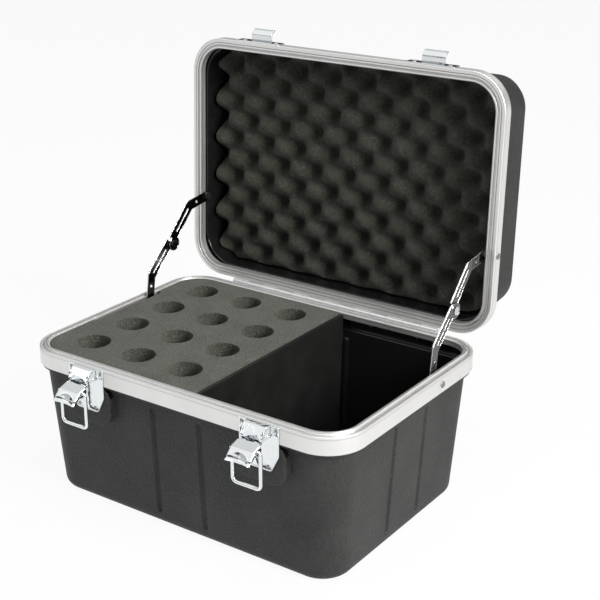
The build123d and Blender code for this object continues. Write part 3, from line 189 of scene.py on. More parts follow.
# ---- floor, sky and lamps --------------------------------------------------------------------
FLOOR_REACH = 60.0
FLOOR_TONE = 0.80                   # of the floor that carries the shadow
FLOOR_SEEN_WHITE = 0.93             # share of plain white in what the camera and mirrors see of it
MIRROR_REACH = 8.0                  # distance over which the mirrored floor fades
FILL_STRENGTH = 0.27
LAMP_TARGET = Vector((0, 0, 0.12))
LAMPS = (                           # name, place, size, power, colour
    ("key_lamp", (2.2, -0.3, 1.5), 1.2, 84.0, (1.0, 0.985, 0.94)),
    ("top_lamp", (0.0, -0.6, 2.4), 1.6, 10.0, (1, 1, 1)),
    ("fill_lamp", (-1.8, -1.8, 1.0), 1.6, 3.0, (0.95, 0.98, 1.0)),
    ("spark_lamp", (0.5, 0.35, 2.1), 0.22, 7.0, (1, 1, 1)),
)


# ---- node trees ------------------------------------------------------------------------------
def feed(node, inputs):
    """Gives each named input its value, or links it to the socket that feeds it."""
    for name, value in inputs.items():
        socket = node.inputs[name]
        if isinstance(value, bpy.types.NodeSocket):
            node.id_data.links.new(value, socket)
        else:
            socket.default_value = value


def add_node(tree, kind, inputs=None, **settings):
    node = tree.nodes.new(kind)
    for name, value in settings.items():
        setattr(node, name, value)
    feed(node, inputs or {})
    return node


def maths(tree, operation, first, second=0.0, third=0.0):
    return add_node(tree, "ShaderNodeMath", {0: first, 1: second, 2: third}, operation=operation).outputs[0]


def times(tree, first, second):
    return maths(tree, "MULTIPLY", first, second)


def times_add(tree, first, second, third):
    return maths(tree, "MULTIPLY_ADD", first, second, third)


def vectors(tree, operation, first, second=(0, 0, 0)):
    return add_node(tree, "ShaderNodeVectorMath", {0: first, 1: second}, operation=operation).outputs[0]


def xyz(tree, vector):
    """The X, Y and Z of a vector."""
    return add_node(tree, "ShaderNodeSeparateXYZ", {0: vector}).outputs


def blend(tree, share, low, high):
    return add_node(tree, "ShaderNodeMix", {0: share, 2: low, 3: high}).outputs[0]


def blend_colours(tree, share, low, high):
    return add_node(tree, "ShaderNodeMix", {0: share, 6: low, 7: high}, data_type="RGBA").outputs[2]


def ramp(tree, share, *stops):
    """A colour ramp from (place, grey) stops; its output is read as a grey value."""
    node = add_node(tree, "ShaderNodeValToRGB", {0: share})
    elements = node.color_ramp.elements
    while len(elements) < len(stops):
        elements.new(0.5)
    for element, (place, grey) in zip(elements, stops):
        element.position = place
        element.color = (grey, grey, grey, 1)
    return node.outputs[0]


def grey(value, warmth=0.0):
    """A near grey colour; warmth above zero leans to red, below zero to blue."""
    return (value * (1 + warmth), value, value * (1 - warmth), 1)


def lighter(colour, factor):
    """A lighter colour, or a darker one below a factor of 1; a channel ends at a bright metal's."""
    return [min(channel * factor, 0.95) for channel in colour[:3]] + [1]


def empty_tree(owner):
    """The cleared node tree of a material or a world."""
    owner.use_nodes = True
    owner.node_tree.nodes.clear()
    return owner.node_tree


def new_finish(name):
    """An empty material with its shader and output; returns the material, tree and shader."""
    material = bpy.data.materials.new(name)
    tree = empty_tree(material)
    shader = add_node(tree, "ShaderNodeBsdfPrincipled")
    add_node(tree, "ShaderNodeOutputMaterial", {"Surface": shader.outputs[0]})
    return material, tree, shader


def object_place(tree):
    return add_node(tree, "ShaderNodeTexCoord").outputs["Object"]


def object_normal(tree):
    return add_node(tree, "ShaderNodeTexCoord").outputs["Normal"]


def swung_shut(tree, vector, centre):
    turn = add_node(tree, "ShaderNodeVectorRotate",
                    {"Vector": vector, "Center": centre, "Angle": OPEN_ANGLE}, rotation_type="X_AXIS")
    return turn.outputs[0]


def closed_place(tree, on_lid):
    """Object coordinates with the lid shut."""
    place = object_place(tree)
    return swung_shut(tree, place, HINGE) if on_lid else place


def closed_normal(tree, on_lid):
    normal = object_normal(tree)
    return swung_shut(tree, normal, (0, 0, 0)) if on_lid else normal


def noise(tree, place, scale, detail, roughness=0.5):
    node = add_node(tree, "ShaderNodeTexNoise",
                    {"Vector": place, "Scale": scale, "Detail": detail, "Roughness": roughness})
    return node.outputs[0]


def cells(tree, place, scale, feature="F1"):
    node = add_node(tree, "ShaderNodeTexVoronoi", {"Vector": place, "Scale": scale}, feature=feature)
    return node.outputs["Distance"]


def add_bump(tree, shader, height, distance, strength):
    bump = add_node(tree, "ShaderNodeBump", {"Height": height, "Distance": distance, "Strength": strength})
    feed(shader, {"Normal": bump.outputs[0]})


# ---- finishes --------------------------------------------------------------------------------
def inset_from_edge(tree, place):
    """Distance inward from the frame's outer face, seen from above, and the height."""
    split = xyz(tree, place)
    across = maths(tree, "SUBTRACT", maths(tree, "ABSOLUTE", split[0]), HALF_WIDTH - FRAME_CORNER)
    along = maths(tree, "SUBTRACT", maths(tree, "ABSOLUTE", split[1]), HALF_DEPTH - FRAME_CORNER)
    across_out = maths(tree, "MAXIMUM", across, 0.0)
    along_out = maths(tree, "MAXIMUM", along, 0.0)
    squares = times_add(tree, across_out, across_out, times(tree, along_out, along_out))
    corner = maths(tree, "SQRT", squares)
    straight = maths(tree, "MINIMUM", maths(tree, "MAXIMUM", across, along), 0.0)
    return maths(tree, "SUBTRACT", FRAME_CORNER, maths(tree, "ADD", corner, straight)), split[2]


def outer_side(tree, place, on_lid):
    """1 on the outside of a shell and 0 on its inside; steep flanks go by their place in the wall."""
    split = xyz(tree, place)
    ways = []
    for i, reach in ((0, HALF_WIDTH - FRAME_CORNER), (1, HALF_DEPTH - FRAME_CORNER)):
        beyond = maths(tree, "SUBTRACT", maths(tree, "ABSOLUTE", split[i]), reach)
        ways.append(times(tree, maths(tree, "MAXIMUM", beyond, 0.0), maths(tree, "SIGN", split[i])))
    level = add_node(tree, "ShaderNodeCombineXYZ", {0: ways[0], 1: ways[1]})
    unit = vectors(tree, "NORMALIZE", level.outputs[0])
    way = vectors(tree, "ADD", unit, (0, 0, 1 if on_lid else -1))
    facing = add_node(tree, "ShaderNodeVectorMath", {0: closed_normal(tree, on_lid), 1: way},
                      operation="DOT_PRODUCT").outputs["Value"]
    inset, height = inset_from_edge(tree, place)
    depth = maths(tree, "ABSOLUTE", maths(tree, "SUBTRACT", height, RIM))
    near = maths(tree, "LESS_THAN", times_add(tree, depth, -WALL_LEAN, inset), WALL_REACH)
    steep = maths(tree, "GREATER_THAN", facing, -SURE_FACING)
    return maths(tree, "MAXIMUM", maths(tree, "GREATER_THAN", facing, SURE_FACING), times(tree, steep, near))


def soft_edges(tree, shader, radius):
    """Rounds the sharp edges of a solid for the light; a bump below it keeps its effect."""
    bevel = add_node(tree, "ShaderNodeBevel", {"Radius": radius}, samples=6)
    feed(shader.inputs["Normal"].links[0].from_node, {"Normal": bevel.outputs[0]})


def shell_finish(name, on_lid, painted_shade_share=1.0):
    """Moulded plastic: leather grain on the outside, plain gloss on the inside; a share below 1 darkens the
    outside's colours as painted shade.
    """
    material, tree, shader = new_finish(name)
    place = closed_place(tree, on_lid)
    outside = outer_side(tree, place, on_lid)
    pebbles = cells(tree, place, 520.0, "SMOOTH_F1")
    wrinkles = noise(tree, place, 330.0, 4.0, 0.7)
    grain = times_add(tree, wrinkles, 1.4, pebbles)
    mottle = noise(tree, place, 420.0, 4.0, 0.75)
    cloud = noise(tree, place, 22.0, 3.0)
    tone = times_add(tree, mottle, 0.7, times(tree, cloud, 0.3))
    skin = blend_colours(tree, ramp(tree, tone, (0.36, 0.0), (0.64, 1.0)), lighter(SHELL_LOW, painted_shade_share),
                         lighter(SHELL_HIGH, painted_shade_share))
    dull = times_add(tree, mottle, 0.16, 0.46)
    feed(shader, {"Base Color": blend_colours(tree, outside, grey(0.009, -0.02), skin),
                  "Roughness": blend(tree, outside, 0.17, dull),
                  "Specular IOR Level": blend(tree, outside, 0.7, 0.34)})
    add_bump(tree, shader, times(tree, grain, outside), 0.8 * MM, 0.9)
    soft_edges(tree, shader, SHELL_SOFTNESS)
    return material


def aluminium_finish(name, on_lid):
    """Satin extrusion with fine draw lines that run round the case, and painted shade in its grooves."""
    material, tree, shader = new_finish(name)
    place = closed_place(tree, on_lid)
    inset, height = inset_from_edge(tree, place)
    lines_place = add_node(tree, "ShaderNodeCombineXYZ", {0: inset, 1: height}).outputs[0]
    fine = noise(tree, lines_place, 2600.0, 3.0, 0.6)
    broad = noise(tree, lines_place, 520.0, 2.0)
    cloud = noise(tree, place, 30.0, 3.0)
    lines = times_add(tree, broad, 0.6, times(tree, fine, 0.4))
    level = maths(tree, "ABSOLUTE", xyz(tree, closed_normal(tree, on_lid))[2])
    flat = maths(tree, "GREATER_THAN", level, 0.6)
    # Painted shade: the grooves of the face and band are coloured darker, and the same tones raise the bump.
    face_line_shade = ramp(tree, maths(tree, "DIVIDE", inset, FACE_WIDTH), *FACE_GROOVE_SHADE)
    drop = maths(tree, "DIVIDE", maths(tree, "ABSOLUTE", maths(tree, "SUBTRACT", height, RIM)), BAND_HEIGHT)
    groove_shade_and_relief = blend(tree, flat, ramp(tree, drop, *BAND_GROOVE_SHADE), face_line_shade)
    colour = blend_colours(tree, lines, grey(0.74, 0.003), grey(0.86, 0.006))
    cloudy = blend_colours(tree, ramp(tree, cloud, (0.45, 0.0), (0.8, 0.35)), colour, grey(0.70, 0.01))
    feed(shader, {"Base Color": blend_colours(tree, groove_shade_and_relief, grey(0.10), cloudy), "Metallic": 0.82,
                  "Roughness": times_add(tree, lines, 0.18, 0.30)})
    add_bump(tree, shader, times_add(tree, lines, 0.12, groove_shade_and_relief), 0.6 * MM, 0.6)
    soft_edges(tree, shader, FRAME_SOFTNESS)
    return material


def foam_finish(name, low, high, pore_scale):
    """Open-cell foam: a dull, finely pored skin with pale flecks."""
    material, tree, shader = new_finish(name)
    place = object_place(tree)
    pores = cells(tree, place, pore_scale)
    fibres = noise(tree, place, pore_scale * 0.55, 6.0, 0.85)
    patches = noise(tree, place, 45.0, 3.0)
    tone = times_add(tree, fibres, 0.85, times(tree, patches, 0.15))
    colour = blend_colours(tree, ramp(tree, tone, (0.38, 0.0), (0.62, 1.0)), low, high)
    flecks = times(tree, ramp(tree, fibres, (0.58, 0.0), (0.64, 1.0)), 0.6)
    feed(shader, {"Base Color": blend_colours(tree, flecks, colour, lighter(high, 2.4)),
                  "Roughness": 0.95, "Specular IOR Level": 0.15, "Sheen Weight": 0.12,
                  "Sheen Roughness": 0.5})
    add_bump(tree, shader, times_add(tree, fibres, 0.6, pores), 0.9 * MM, 0.9)
    return material


def divider_finish():
    """Thin black board with a faint woven tooth."""
    material, tree, shader = new_finish("divider_board")
    place = object_place(tree)
    tooth = noise(tree, place, 900.0, 3.0, 0.6)
    cloud = noise(tree, place, 35.0, 3.0)
    feed(shader, {"Base Color": blend_colours(tree, cloud, grey(0.005), grey(0.011)),
                  "Roughness": times_add(tree, cloud, 0.15, 0.42)})
    add_bump(tree, shader, tooth, 0.2 * MM, 0.4)
    return material


def chrome_finish(name, tint, rough, ripple):
    """Polished plate over pressed steel, with faint waves and smears, and painted shade in its corners and
    crevices.
    """
    material, tree, shader = new_finish(name)
    place = object_place(tree)
    waves = noise(tree, place, 140.0, 2.0)
    smears = noise(tree, place, 60.0, 4.0, 0.7)
    colour = blend_colours(tree, smears, tint, lighter(tint, 1.12))
    # Painted shade: the colour darkens to near black where ambient occlusion finds corners and crevices.
    nearby = add_node(tree, "ShaderNodeAmbientOcclusion", {"Distance": CREVICE_SHADE_REACH}, samples=8)
    open_share = ramp(tree, nearby.outputs["AO"], (0.25, 0.0), (0.62, 1.0))
    feed(shader, {"Base Color": blend_colours(tree, open_share, grey(0.06), colour), "Metallic": 1.0,
                  "Roughness": times_add(tree, smears, rough, rough * 0.6)})
    add_bump(tree, shader, waves, ripple, 0.5)
    return material


def stay_finish():
    """Nickelled links: faces that look along X, the flat webs, are coloured darker than the rims and bead.
    """
    material = chrome_finish("stay_steel", grey(0.62), 0.10, 0.2 * MM)
    tree = material.node_tree
    shader = next(node for node in tree.nodes if node.type == "BSDF_PRINCIPLED")
    bright = shader.inputs["Base Color"].links[0].from_socket
    # The colour darkens on faces that look along X, the flat web of each link.
    across = maths(tree, "ABSOLUTE", xyz(tree, object_normal(tree))[0])
    web = ramp(tree, across, (0.0, 0.0), (0.86, 0.0), (0.99, 1.0))
    feed(shader, {"Base Color": blend_colours(tree, web, bright, grey(0.16))})
    return material


def steel_finish(name, tint, rough):
    """Plated or bare steel with short random brush marks."""
    material, tree, shader = new_finish(name)
    place = object_place(tree)
    brushed = add_node(tree, "ShaderNodeMapping", {"Vector": place, "Scale": (0.15, 1, 1)})
    marks = noise(tree, brushed.outputs[0], 1800.0, 3.0, 0.6)
    feed(shader, {"Base Color": blend_colours(tree, marks, tint, lighter(tint, 1.15)), "Metallic": 1.0,
                  "Roughness": times_add(tree, marks, 0.15, rough)})
    add_bump(tree, shader, marks, 0.05 * MM, 0.4)
    return material


def grip_finish():
    """Moulded handle plastic with a fine spark-eroded skin."""
    material, tree, shader = new_finish("handle_plastic")
    place = object_place(tree)
    skin = noise(tree, place, 1500.0, 3.0, 0.6)
    cloud = noise(tree, place, 50.0, 3.0)
    feed(shader, {"Base Color": blend_colours(tree, cloud, grey(0.022), grey(0.034)),
                  "Roughness": times_add(tree, cloud, 0.12, 0.40)})
    add_bump(tree, shader, skin, 0.15 * MM, 0.5)
    return material


FINISH = {
    "base_shell": shell_finish("base_shell_plastic", False),
    # Painted shade: the lid's outside is coloured 0.72 as light as the base's.
    "lid_shell": shell_finish("lid_shell_plastic", True, 0.72),
    "base_frame": aluminium_finish("base_frame_aluminium", False),
    "lid_frame": aluminium_finish("lid_frame_aluminium", True),
    "insert_foam": foam_finish("insert_foam", (0.033, 0.034, 0.029, 1), (0.125, 0.127, 0.110, 1), 900.0),
    "lid_foam": foam_finish("lid_foam", (0.021, 0.022, 0.018, 1), (0.068, 0.070, 0.057, 1), 800.0),
    "divider": divider_finish(),
    "chrome": chrome_finish("latch_chrome", (0.76, 0.785, 0.795, 1), 0.04, 0.25 * MM),
    "stay": stay_finish(),
    "hinge": steel_finish("hinge_steel", grey(0.70), 0.28),
    "rivet": steel_finish("rivet_steel", grey(0.30), 0.26),
    "knuckle": chrome_finish("knuckle_nickel", grey(0.74), 0.08, 0.1 * MM),
    "grip": grip_finish(),
}

NODE_FINISH = {
    "base_shell": "base_shell", "lid_shell": "lid_shell", "base_frame": "base_frame",
    "lid_frame": "lid_frame", "foam_insert": "insert_foam", "foam_base_pad": "insert_foam",
    "lid_foam": "lid_foam", "divider_panel": "divider", "hinge": "hinge", "handle_grip": "grip",
    "stay": "stay", "stay_knuckle": "knuckle", "stay_base_stud": "rivet", "stay_lid_stud": "rivet",
    "latch_rivets": "rivet", "keeper_rivets": "rivet", "handle_rivets": "rivet",
    "handle_backing": "rivet", "latch": "chrome", "keeper": "chrome", "handle": "chrome",
}


def dress_nodes():
    """Gives every solid its finish by the start of its name; the longest match wins."""
    for name, node in frame["nodes"].items():
        found = max((start for start in NODE_FINISH if name.startswith(start)), key=len)
        material = FINISH[NODE_FINISH[found]]
        if not node.material_slots:
            node.data.materials.append(material)
        for place in node.material_slots:
            place.material = material


# ---- mesh helpers ----------------------------------------------------------------------------
def shown(name, data):
    """A new object in the scene."""
    holder = bpy.data.objects.new(name, data)
    bpy.context.scene.collection.objects.link(holder)
    return holder


def mesh_piece(name, points, faces, finish):
    mesh = bpy.data.meshes.new(name)
    mesh.from_pydata([tuple(point) for point in points], [], faces)
    mesh.materials.append(FINISH[finish])
    mesh.validate()
    return shown(name, mesh)


def baked(piece):
    """Turns a piece with live modifiers, or a curve, into a plain mesh piece of the same name."""
    bpy.context.view_layer.update()
    graph = bpy.context.evaluated_depsgraph_get()
    mesh = bpy.data.meshes.new_from_object(piece.evaluated_get(graph))
    mesh.transform(piece.matrix_world)
    mesh.name = piece.name
    name = piece.name
    bpy.data.objects.remove(piece)
    return shown(name, mesh)


def smoothed(piece, angle=40.0):
    """Smooth shading with sharp edges above an angle."""
    mesh = piece.data
    mesh.shade_smooth()
    mesh.set_sharp_from_angle(angle=math.radians(angle))
    return piece


def outward(piece):
    """Merges doubles and turns every face outwards."""
    work = bmesh.new()
    work.from_mesh(piece.data)
    bmesh.ops.remove_doubles(work, verts=work.verts, dist=1e-6)
    bmesh.ops.recalc_face_normals(work, faces=work.faces)
    work.to_mesh(piece.data)
    work.free()
    return piece


def swung_open(piece):
    piece.data.transform(SWING)
    return piece


# ---- outlines --------------------------------------------------------------------------------
def fillet_points(before, corner, after, radius, steps):
    """Points of the arc that rounds a corner; radius 0 keeps it sharp."""
    ahead = (before - corner).normalized()
    behind = (after - corner).normalized()
    half = ahead.angle(behind) / 2
    if radius <= 0 or half > math.pi / 2 - 1e-3:
        return [corner]
    centre = corner + (ahead + behind).normalized() * (radius / math.sin(half))
    first = corner + ahead * (radius / math.tan(half)) - centre
    last = corner + behind * (radius / math.tan(half)) - centre
    turn = first.angle_signed(last)
    return [centre + Matrix.Rotation(-turn * i / steps, 2) @ first for i in range(steps + 1)]


def rounded_outline(corners, steps=6):
    """A closed outline in metres from (x, y, radius) corners in millimetres."""
    places = [Vector(corner[:2]) * MM for corner in corners]
    points = []
    for i, corner in enumerate(corners):
        after = places[(i + 1) % len(places)]
        points += fillet_points(places[i - 1], places[i], after, corner[2] * MM, steps)
    return points


def rounded_route(corners, steps=6):
    """The same for an open route; its two ends stay where they are."""
    places = [Vector(corner[:2]) * MM for corner in corners]
    points = [places[0]]
    for i in range(1, len(places) - 1):
        points += fillet_points(places[i - 1], places[i], places[i + 1], corners[i][2] * MM, steps)
    return points + [places[-1]]


def extent(points):
    """Lowest and highest corners of points of any dimension."""
    low, high = (Vector([pick(values) for values in zip(*points)]) for pick in (min, max))
    return low, high


def circle_outline(centre, radius, count=32):
    return [Vector(centre) + Vector((math.cos(a), math.sin(a))) * radius
            for a in (math.tau * i / count for i in range(count))]


def shrunk(outline, distance):
    """An outline pulled inward; it must not be smaller than the distance anywhere."""
    count = len(outline)
    area = sum(outline[i - 1].cross(outline[i]) for i in range(count))
    made = []
    for i, point in enumerate(outline):
        way = outline[(i + 1) % count] - outline[i - 1]
        inward = Vector((-way.y, way.x)).normalized()
        made.append(point + inward * (distance if area > 0 else -distance))
    return made


def inset_corners(corners, distance):
    """The same (x, y, radius) corners on an outline that lies a distance inside."""
    count = len(corners)
    places = [Vector(corner[:2]) for corner in corners]
    hand = math.copysign(1, sum(places[i - 1].cross(places[i]) for i in range(count)))
    made = []
    for i, place in enumerate(places):
        before = (place - places[i - 1]).normalized()
        after = (places[(i + 1) % count] - place).normalized()
        inward = [Vector((-way.y, way.x)) * hand for way in (before, after)]
        middle = (inward[0] + inward[1]).normalized()
        shift = middle * (distance / middle.dot(inward[0]))
        made.append((*(place + shift), max(corners[i][2] - distance, 0.5)))
    return made


def face_outlines(node, axis, height=None):
    """Outlines of a CAD node's flat faces that look along an axis, the longest first."""
    work = bmesh.new()
    work.from_mesh(frame["nodes"][node].data)
    bmesh.ops.remove_doubles(work, verts=work.verts, dist=1e-6)
    chosen = {face for face in work.faces if face.normal[axis] > 0.999 and
              (height is None or abs(face.calc_center_median()[axis] - height) < 0.1 * MM)}
    links = {}
    for edge in work.edges:
        if sum(face in chosen for face in edge.link_faces) == 1:
            first, last = edge.verts
            links.setdefault(first, []).append(last)
            links.setdefault(last, []).append(first)
    kept = [i for i in range(3) if i != axis]
    loops = []
    while links:
        here, loop = next(iter(links)), []
        while here:
            loop.append(Vector([here.co[i] for i in kept]))
            here = next((vert for vert in links.pop(here) if vert in links), None)
        loops.append(loop)
    work.free()
    return sorted(loops, key=lambda loop: -sum((a - b).length for a, b in zip(loop, loop[1:])))


# ---- solid pieces ----------------------------------------------------------------------------
def curve_piece(name, finish, dimensions="2D"):
    curve = bpy.data.curves.new(name, "CURVE")
    curve.dimensions = dimensions
    curve.materials.append(FINISH[finish])
    return shown(name, curve), curve


def add_line(curve, points, closed=True):
    spline = curve.splines.new("POLY")
    spline.points.add(len(points) - 1)
    for knot, point in zip(spline.points, points):
        knot.co = (*point, 0, 1) if len(point) == 2 else (*point, 1)
    spline.use_cyclic_u = closed


def flat_piece(name, outlines, low, high, edge, place, finish):
    """A plate with rounded edges between two heights along the Z of its place."""
    holder, curve = curve_piece(name, finish)
    curve.fill_mode = "BOTH"
    curve.extrude = (high - low) / 2 - edge
    curve.bevel_depth = edge
    curve.bevel_resolution = 2
    curve.offset = -edge
    for outline in outlines:
        add_line(curve, outline)
    holder.matrix_world = place @ Matrix.Translation((0, 0, (low + high) / 2))
    return smoothed(outward(baked(holder)))


def wire_piece(name, points, radius, place, finish, closed=False):
    """A round wire along points."""
    holder, curve = curve_piece(name, finish, "3D")
    curve.bevel_depth = radius
    curve.bevel_resolution = 5
    curve.use_fill_caps = not closed
    add_line(curve, points, closed)
    holder.matrix_world = place
    return smoothed(outward(baked(holder)), 60.0)


def lathe(name, profile, place, finish, count=28):
    """Spins (radius, height) pairs round the Z of a place; both ends lie on the axis."""
    points = [(0, 0, profile[0][1])]
    for radius, height in profile[1:-1]:
        points += [(radius * math.cos(a), radius * math.sin(a), height)
                   for a in (math.tau * i / count for i in range(count))]
    points.append((0, 0, profile[-1][1]))
    last, rings = len(points) - 1, len(profile) - 2
    faces = [(0, 1 + (i + 1) % count, 1 + i) for i in range(count)]
    for ring in range(rings - 1):
        low, high = 1 + ring * count, 1 + (ring + 1) * count
        faces += [(low + i, low + (i + 1) % count, high + (i + 1) % count, high + i) for i in range(count)]
    top = 1 + (rings - 1) * count
    faces += [(top + i, top + (i + 1) % count, last) for i in range(count)]
    piece = mesh_piece(name, points, faces, finish)
    piece.data.transform(place)
    return smoothed(outward(piece), 50.0)


def sheet_piece(name, rows, finish, thickness, outside):
    """A bent sheet through rows of points; its thickness goes away from the outside."""
    wide = len(rows[0])
    points = [point for row in rows for point in row]
    faces = [(j * wide + i, j * wide + i + 1, (j + 1) * wide + i + 1, (j + 1) * wide + i)
             for j in range(len(rows) - 1) for i in range(wide - 1)]
    piece = mesh_piece(name, points, faces, finish)
    look = sum((face.normal * face.area for face in piece.data.polygons), Vector())
    if look.dot(outside) < 0:
        piece.data.flip_normals()
    solid = piece.modifiers.new("wall", "SOLIDIFY")
    solid.thickness = thickness
    solid.offset = -1.0
    edge = piece.modifiers.new("edge", "BEVEL")
    edge.width = thickness * 0.28
    edge.segments = 2
    edge.limit_method = "ANGLE"
    edge.angle_limit = math.radians(50)
    return smoothed(baked(piece))


def weighted(piece):
    """Smooth shading that keeps large faces flat."""
    smoothed(piece, 42.0)
    keep = piece.modifiers.new("flat", "WEIGHTED_NORMAL")
    keep.keep_sharp = True
    keep.weight = 100
    return baked(piece)


def joined(name, pieces):
    """One piece from several of the same finish."""
    work = bmesh.new()
    for piece in pieces:
        work.from_mesh(piece.data)
    mesh = bpy.data.meshes.new(name)
    work.to_mesh(mesh)
    work.free()
    mesh.materials.append(pieces[0].data.materials[0])
    for piece in pieces:
        bpy.data.objects.remove(piece)
    return weighted(shown(name, mesh))


def settle(piece, body, slot, *nodes):
    """Hands a finished piece to its body, in place of its CAD nodes."""
    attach(piece, body)
    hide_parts(*nodes)


# ---- lid foam --------------------------------------------------------------------------------
def closed_box(name):
    """Corners of a lid node with the lid swung shut."""
    shut = SWING.inverted()
    return extent([shut @ vert.co for vert in frame["nodes"][name].data.vertices])


def rounded_rows(half_depth, corner, count):
    """Rows of a rounded rectangle: each is a place along the depth and the cut of its two ends."""
    turn = max(count // 8, 3)
    straight = count - 2 * turn
    rows = []
    for i in range(turn):
        angle = math.pi / 2 * (1 - i / turn)
        rows.append((corner - half_depth - corner * math.sin(angle), corner * (1 - math.cos(angle))))
    for i in range(straight + 1):
        rows.append((-half_depth + corner + (2 * half_depth - 2 * corner) * i / straight, 0.0))
    return rows + [(-y, cut) for y, cut in reversed(rows[:turn])]


def shape_tree(name, inputs):
    """A geometry tree with inputs given as (name, kind) pairs; returns the tree and its given sockets."""
    tree = bpy.data.node_groups.new(name, "GeometryNodeTree")
    for title, kind in (("Geometry", "Geometry"), *inputs, ("Finish", "Material")):
        tree.interface.new_socket(title, in_out="INPUT", socket_type="NodeSocket" + kind)
    tree.interface.new_socket("Geometry", in_out="OUTPUT", socket_type="NodeSocketGeometry")
    return tree, add_node(tree, "NodeGroupInput").outputs


def end_tree(tree, given, shape):
    """Makes instances real, gives the finish and ends the tree."""
    real = add_node(tree, "GeometryNodeRealizeInstances", {0: shape})
    dressed = add_node(tree, "GeometryNodeSetMaterial", {0: real.outputs[0], "Material": given["Finish"]})
    add_node(tree, "NodeGroupOutput", {0: dressed.outputs[0]})
    return tree


def attribute(tree, name, kind):
    return add_node(tree, "GeometryNodeInputNamedAttribute", {"Name": name}, data_type=kind).outputs[0]


def bump_tree():
    """Raises the tips and sinks the valleys of a convoluted foam along Z."""
    tree, given = shape_tree("convoluted_foam", (("Pitch", "Float"), ("Depth", "Float"),
                                                 ("Unevenness", "Float"), ("First Tip", "Vector")))
    place = add_node(tree, "GeometryNodeInputPosition").outputs[0]
    jitter = add_node(tree, "ShaderNodeTexNoise",
                      {"Vector": place, "Scale": UNEVENNESS_SCALE, "Detail": 1.0})
    centred = vectors(tree, "SUBTRACT", jitter.outputs[1], (0.5, 0.5, 0.5))
    shift = add_node(tree, "ShaderNodeVectorMath", {0: centred, "Scale": given["Unevenness"]},
                     operation="SCALE")
    moved = vectors(tree, "ADD", place, shift.outputs[0])
    split = xyz(tree, vectors(tree, "SUBTRACT", moved, given["First Tip"]))
    turns = [maths(tree, "COSINE", maths(tree, "DIVIDE", times(tree, split[i], math.tau), given["Pitch"]))
             for i in range(2)]
    wave = times(tree, turns[0], turns[1])
    share = maths(tree, "POWER", times_add(tree, wave, -0.5, 0.5), BUMP_POWER)
    sink = times(tree, times(tree, share, given["Depth"]), attribute(tree, "front", "FLOAT"))
    offset = add_node(tree, "ShaderNodeCombineXYZ", {2: sink})
    shaped = add_node(tree, "GeometryNodeSetPosition",
                      {"Geometry": given["Geometry"], "Offset": offset.outputs[0]})
    return end_tree(tree, given, shaped.outputs[0])


def grown(piece, tree, values):
    """Runs a node tree on a piece with inputs given by name, and keeps the result as a plain mesh."""
    modifier = piece.modifiers.new(tree.name, "NODES")
    modifier.node_group = tree
    places = {item.name: item.identifier for item in tree.interface.items_tree if item.in_out == "INPUT"}
    for name, value in values.items():
        modifier[places[name]] = value
    return baked(piece)


def make_lid_foam():
    """A block with a fine grid on its front and back; the tree shapes the front, which faces down."""
    low, high = closed_box("lid_foam")
    half_width = high.x
    half_depth = (high.y - low.y) / 2 - LID_FOAM_GAP
    middle = (high.y + low.y) / 2
    rows = rounded_rows(half_depth, LID_FOAM_CORNER, LID_FOAM_ROWS)
    points, faces = [], []
    wide = LID_FOAM_COLUMNS + 1
    for z in (low.z, high.z):
        for y, cut in rows:
            reach = half_width - cut
            for i in range(wide):
                points.append((reach * (2 * i / LID_FOAM_COLUMNS - 1), middle + y, z))
    layer = len(rows) * wide
    for j in range(len(rows) - 1):
        for i in range(LID_FOAM_COLUMNS):
            a = j * wide + i
            faces.append((a, a + wide, a + wide + 1, a + 1))
            faces.append((layer + a, layer + a + 1, layer + a + wide + 1, layer + a + wide))
    last = (len(rows) - 1) * wide
    border = list(range(wide)) + [j * wide + wide - 1 for j in range(1, len(rows))]
    border += [last + i for i in range(wide - 2, -1, -1)] + [j * wide for j in range(len(rows) - 2, 0, -1)]
    for a, b in zip(border, border[1:] + border[:1]):
        faces.append((a, b, layer + b, layer + a))
    foam = mesh_piece("lid_foam_sheet", points, faces, "lid_foam")
    front = foam.data.attributes.new("front", "FLOAT", "POINT")
    front.data.foreach_set("value", [1.0] * layer + [0.0] * layer)
    foam = grown(foam, bump_tree(),
                 {"Pitch": BUMP_PITCH, "Depth": BUMP_DEPTH, "Unevenness": BUMP_UNEVENNESS,
                  "First Tip": (-half_width, middle - TIP_SETBACK, 0.0), "Finish": FINISH["lid_foam"]})
    foam = smoothed(swung_open(outward(foam)), 60.0)
    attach(foam, "lid")
    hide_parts("lid_foam")


# ---- foam insert -----------------------------------------------------------------------------
def make_foam_insert():
    """A cut block with round wells; its sides lean in with the walls of the case."""
    outlines = face_outlines("foam_insert", 2, FOAM_HIGH.z)[:1]
    for column in range(HOLE_COLUMNS):
        for row in range(HOLE_ROWS):
            spot = (LAST_HOLE_X - HOLE_PITCH_X * column, HOLE_PITCH_Y * (row - (HOLE_ROWS - 1) / 2))
            outlines.append(circle_outline(spot, HOLE_RADIUS, 56))
    foam = flat_piece("foam_insert_block", outlines, FOAM_LOW.z, FOAM_HIGH.z, FOAM_EDGE, Matrix(),
                      "insert_foam")
    height = FOAM_HIGH.z - FOAM_LOW.z
    clear_y = HOLE_PITCH_Y * (HOLE_ROWS - 1) / 2 + HOLE_RADIUS + WELL_MARGIN
    clear_x = LAST_HOLE_X - HOLE_PITCH_X * (HOLE_COLUMNS - 1) - HOLE_RADIUS - WELL_MARGIN
    for vert in foam.data.vertices:
        fall = (FOAM_HIGH.z - vert.co.z) / height
        if abs(vert.co.y) > clear_y:
            vert.co.y -= math.copysign(FOAM_LEAN_Y * fall, vert.co.y)
        if vert.co.x < clear_x:
            vert.co.x += FOAM_LEAN_X * fall
    foam = weighted(foam)
    settle(foam, "base", "insert_foam", "foam_insert")


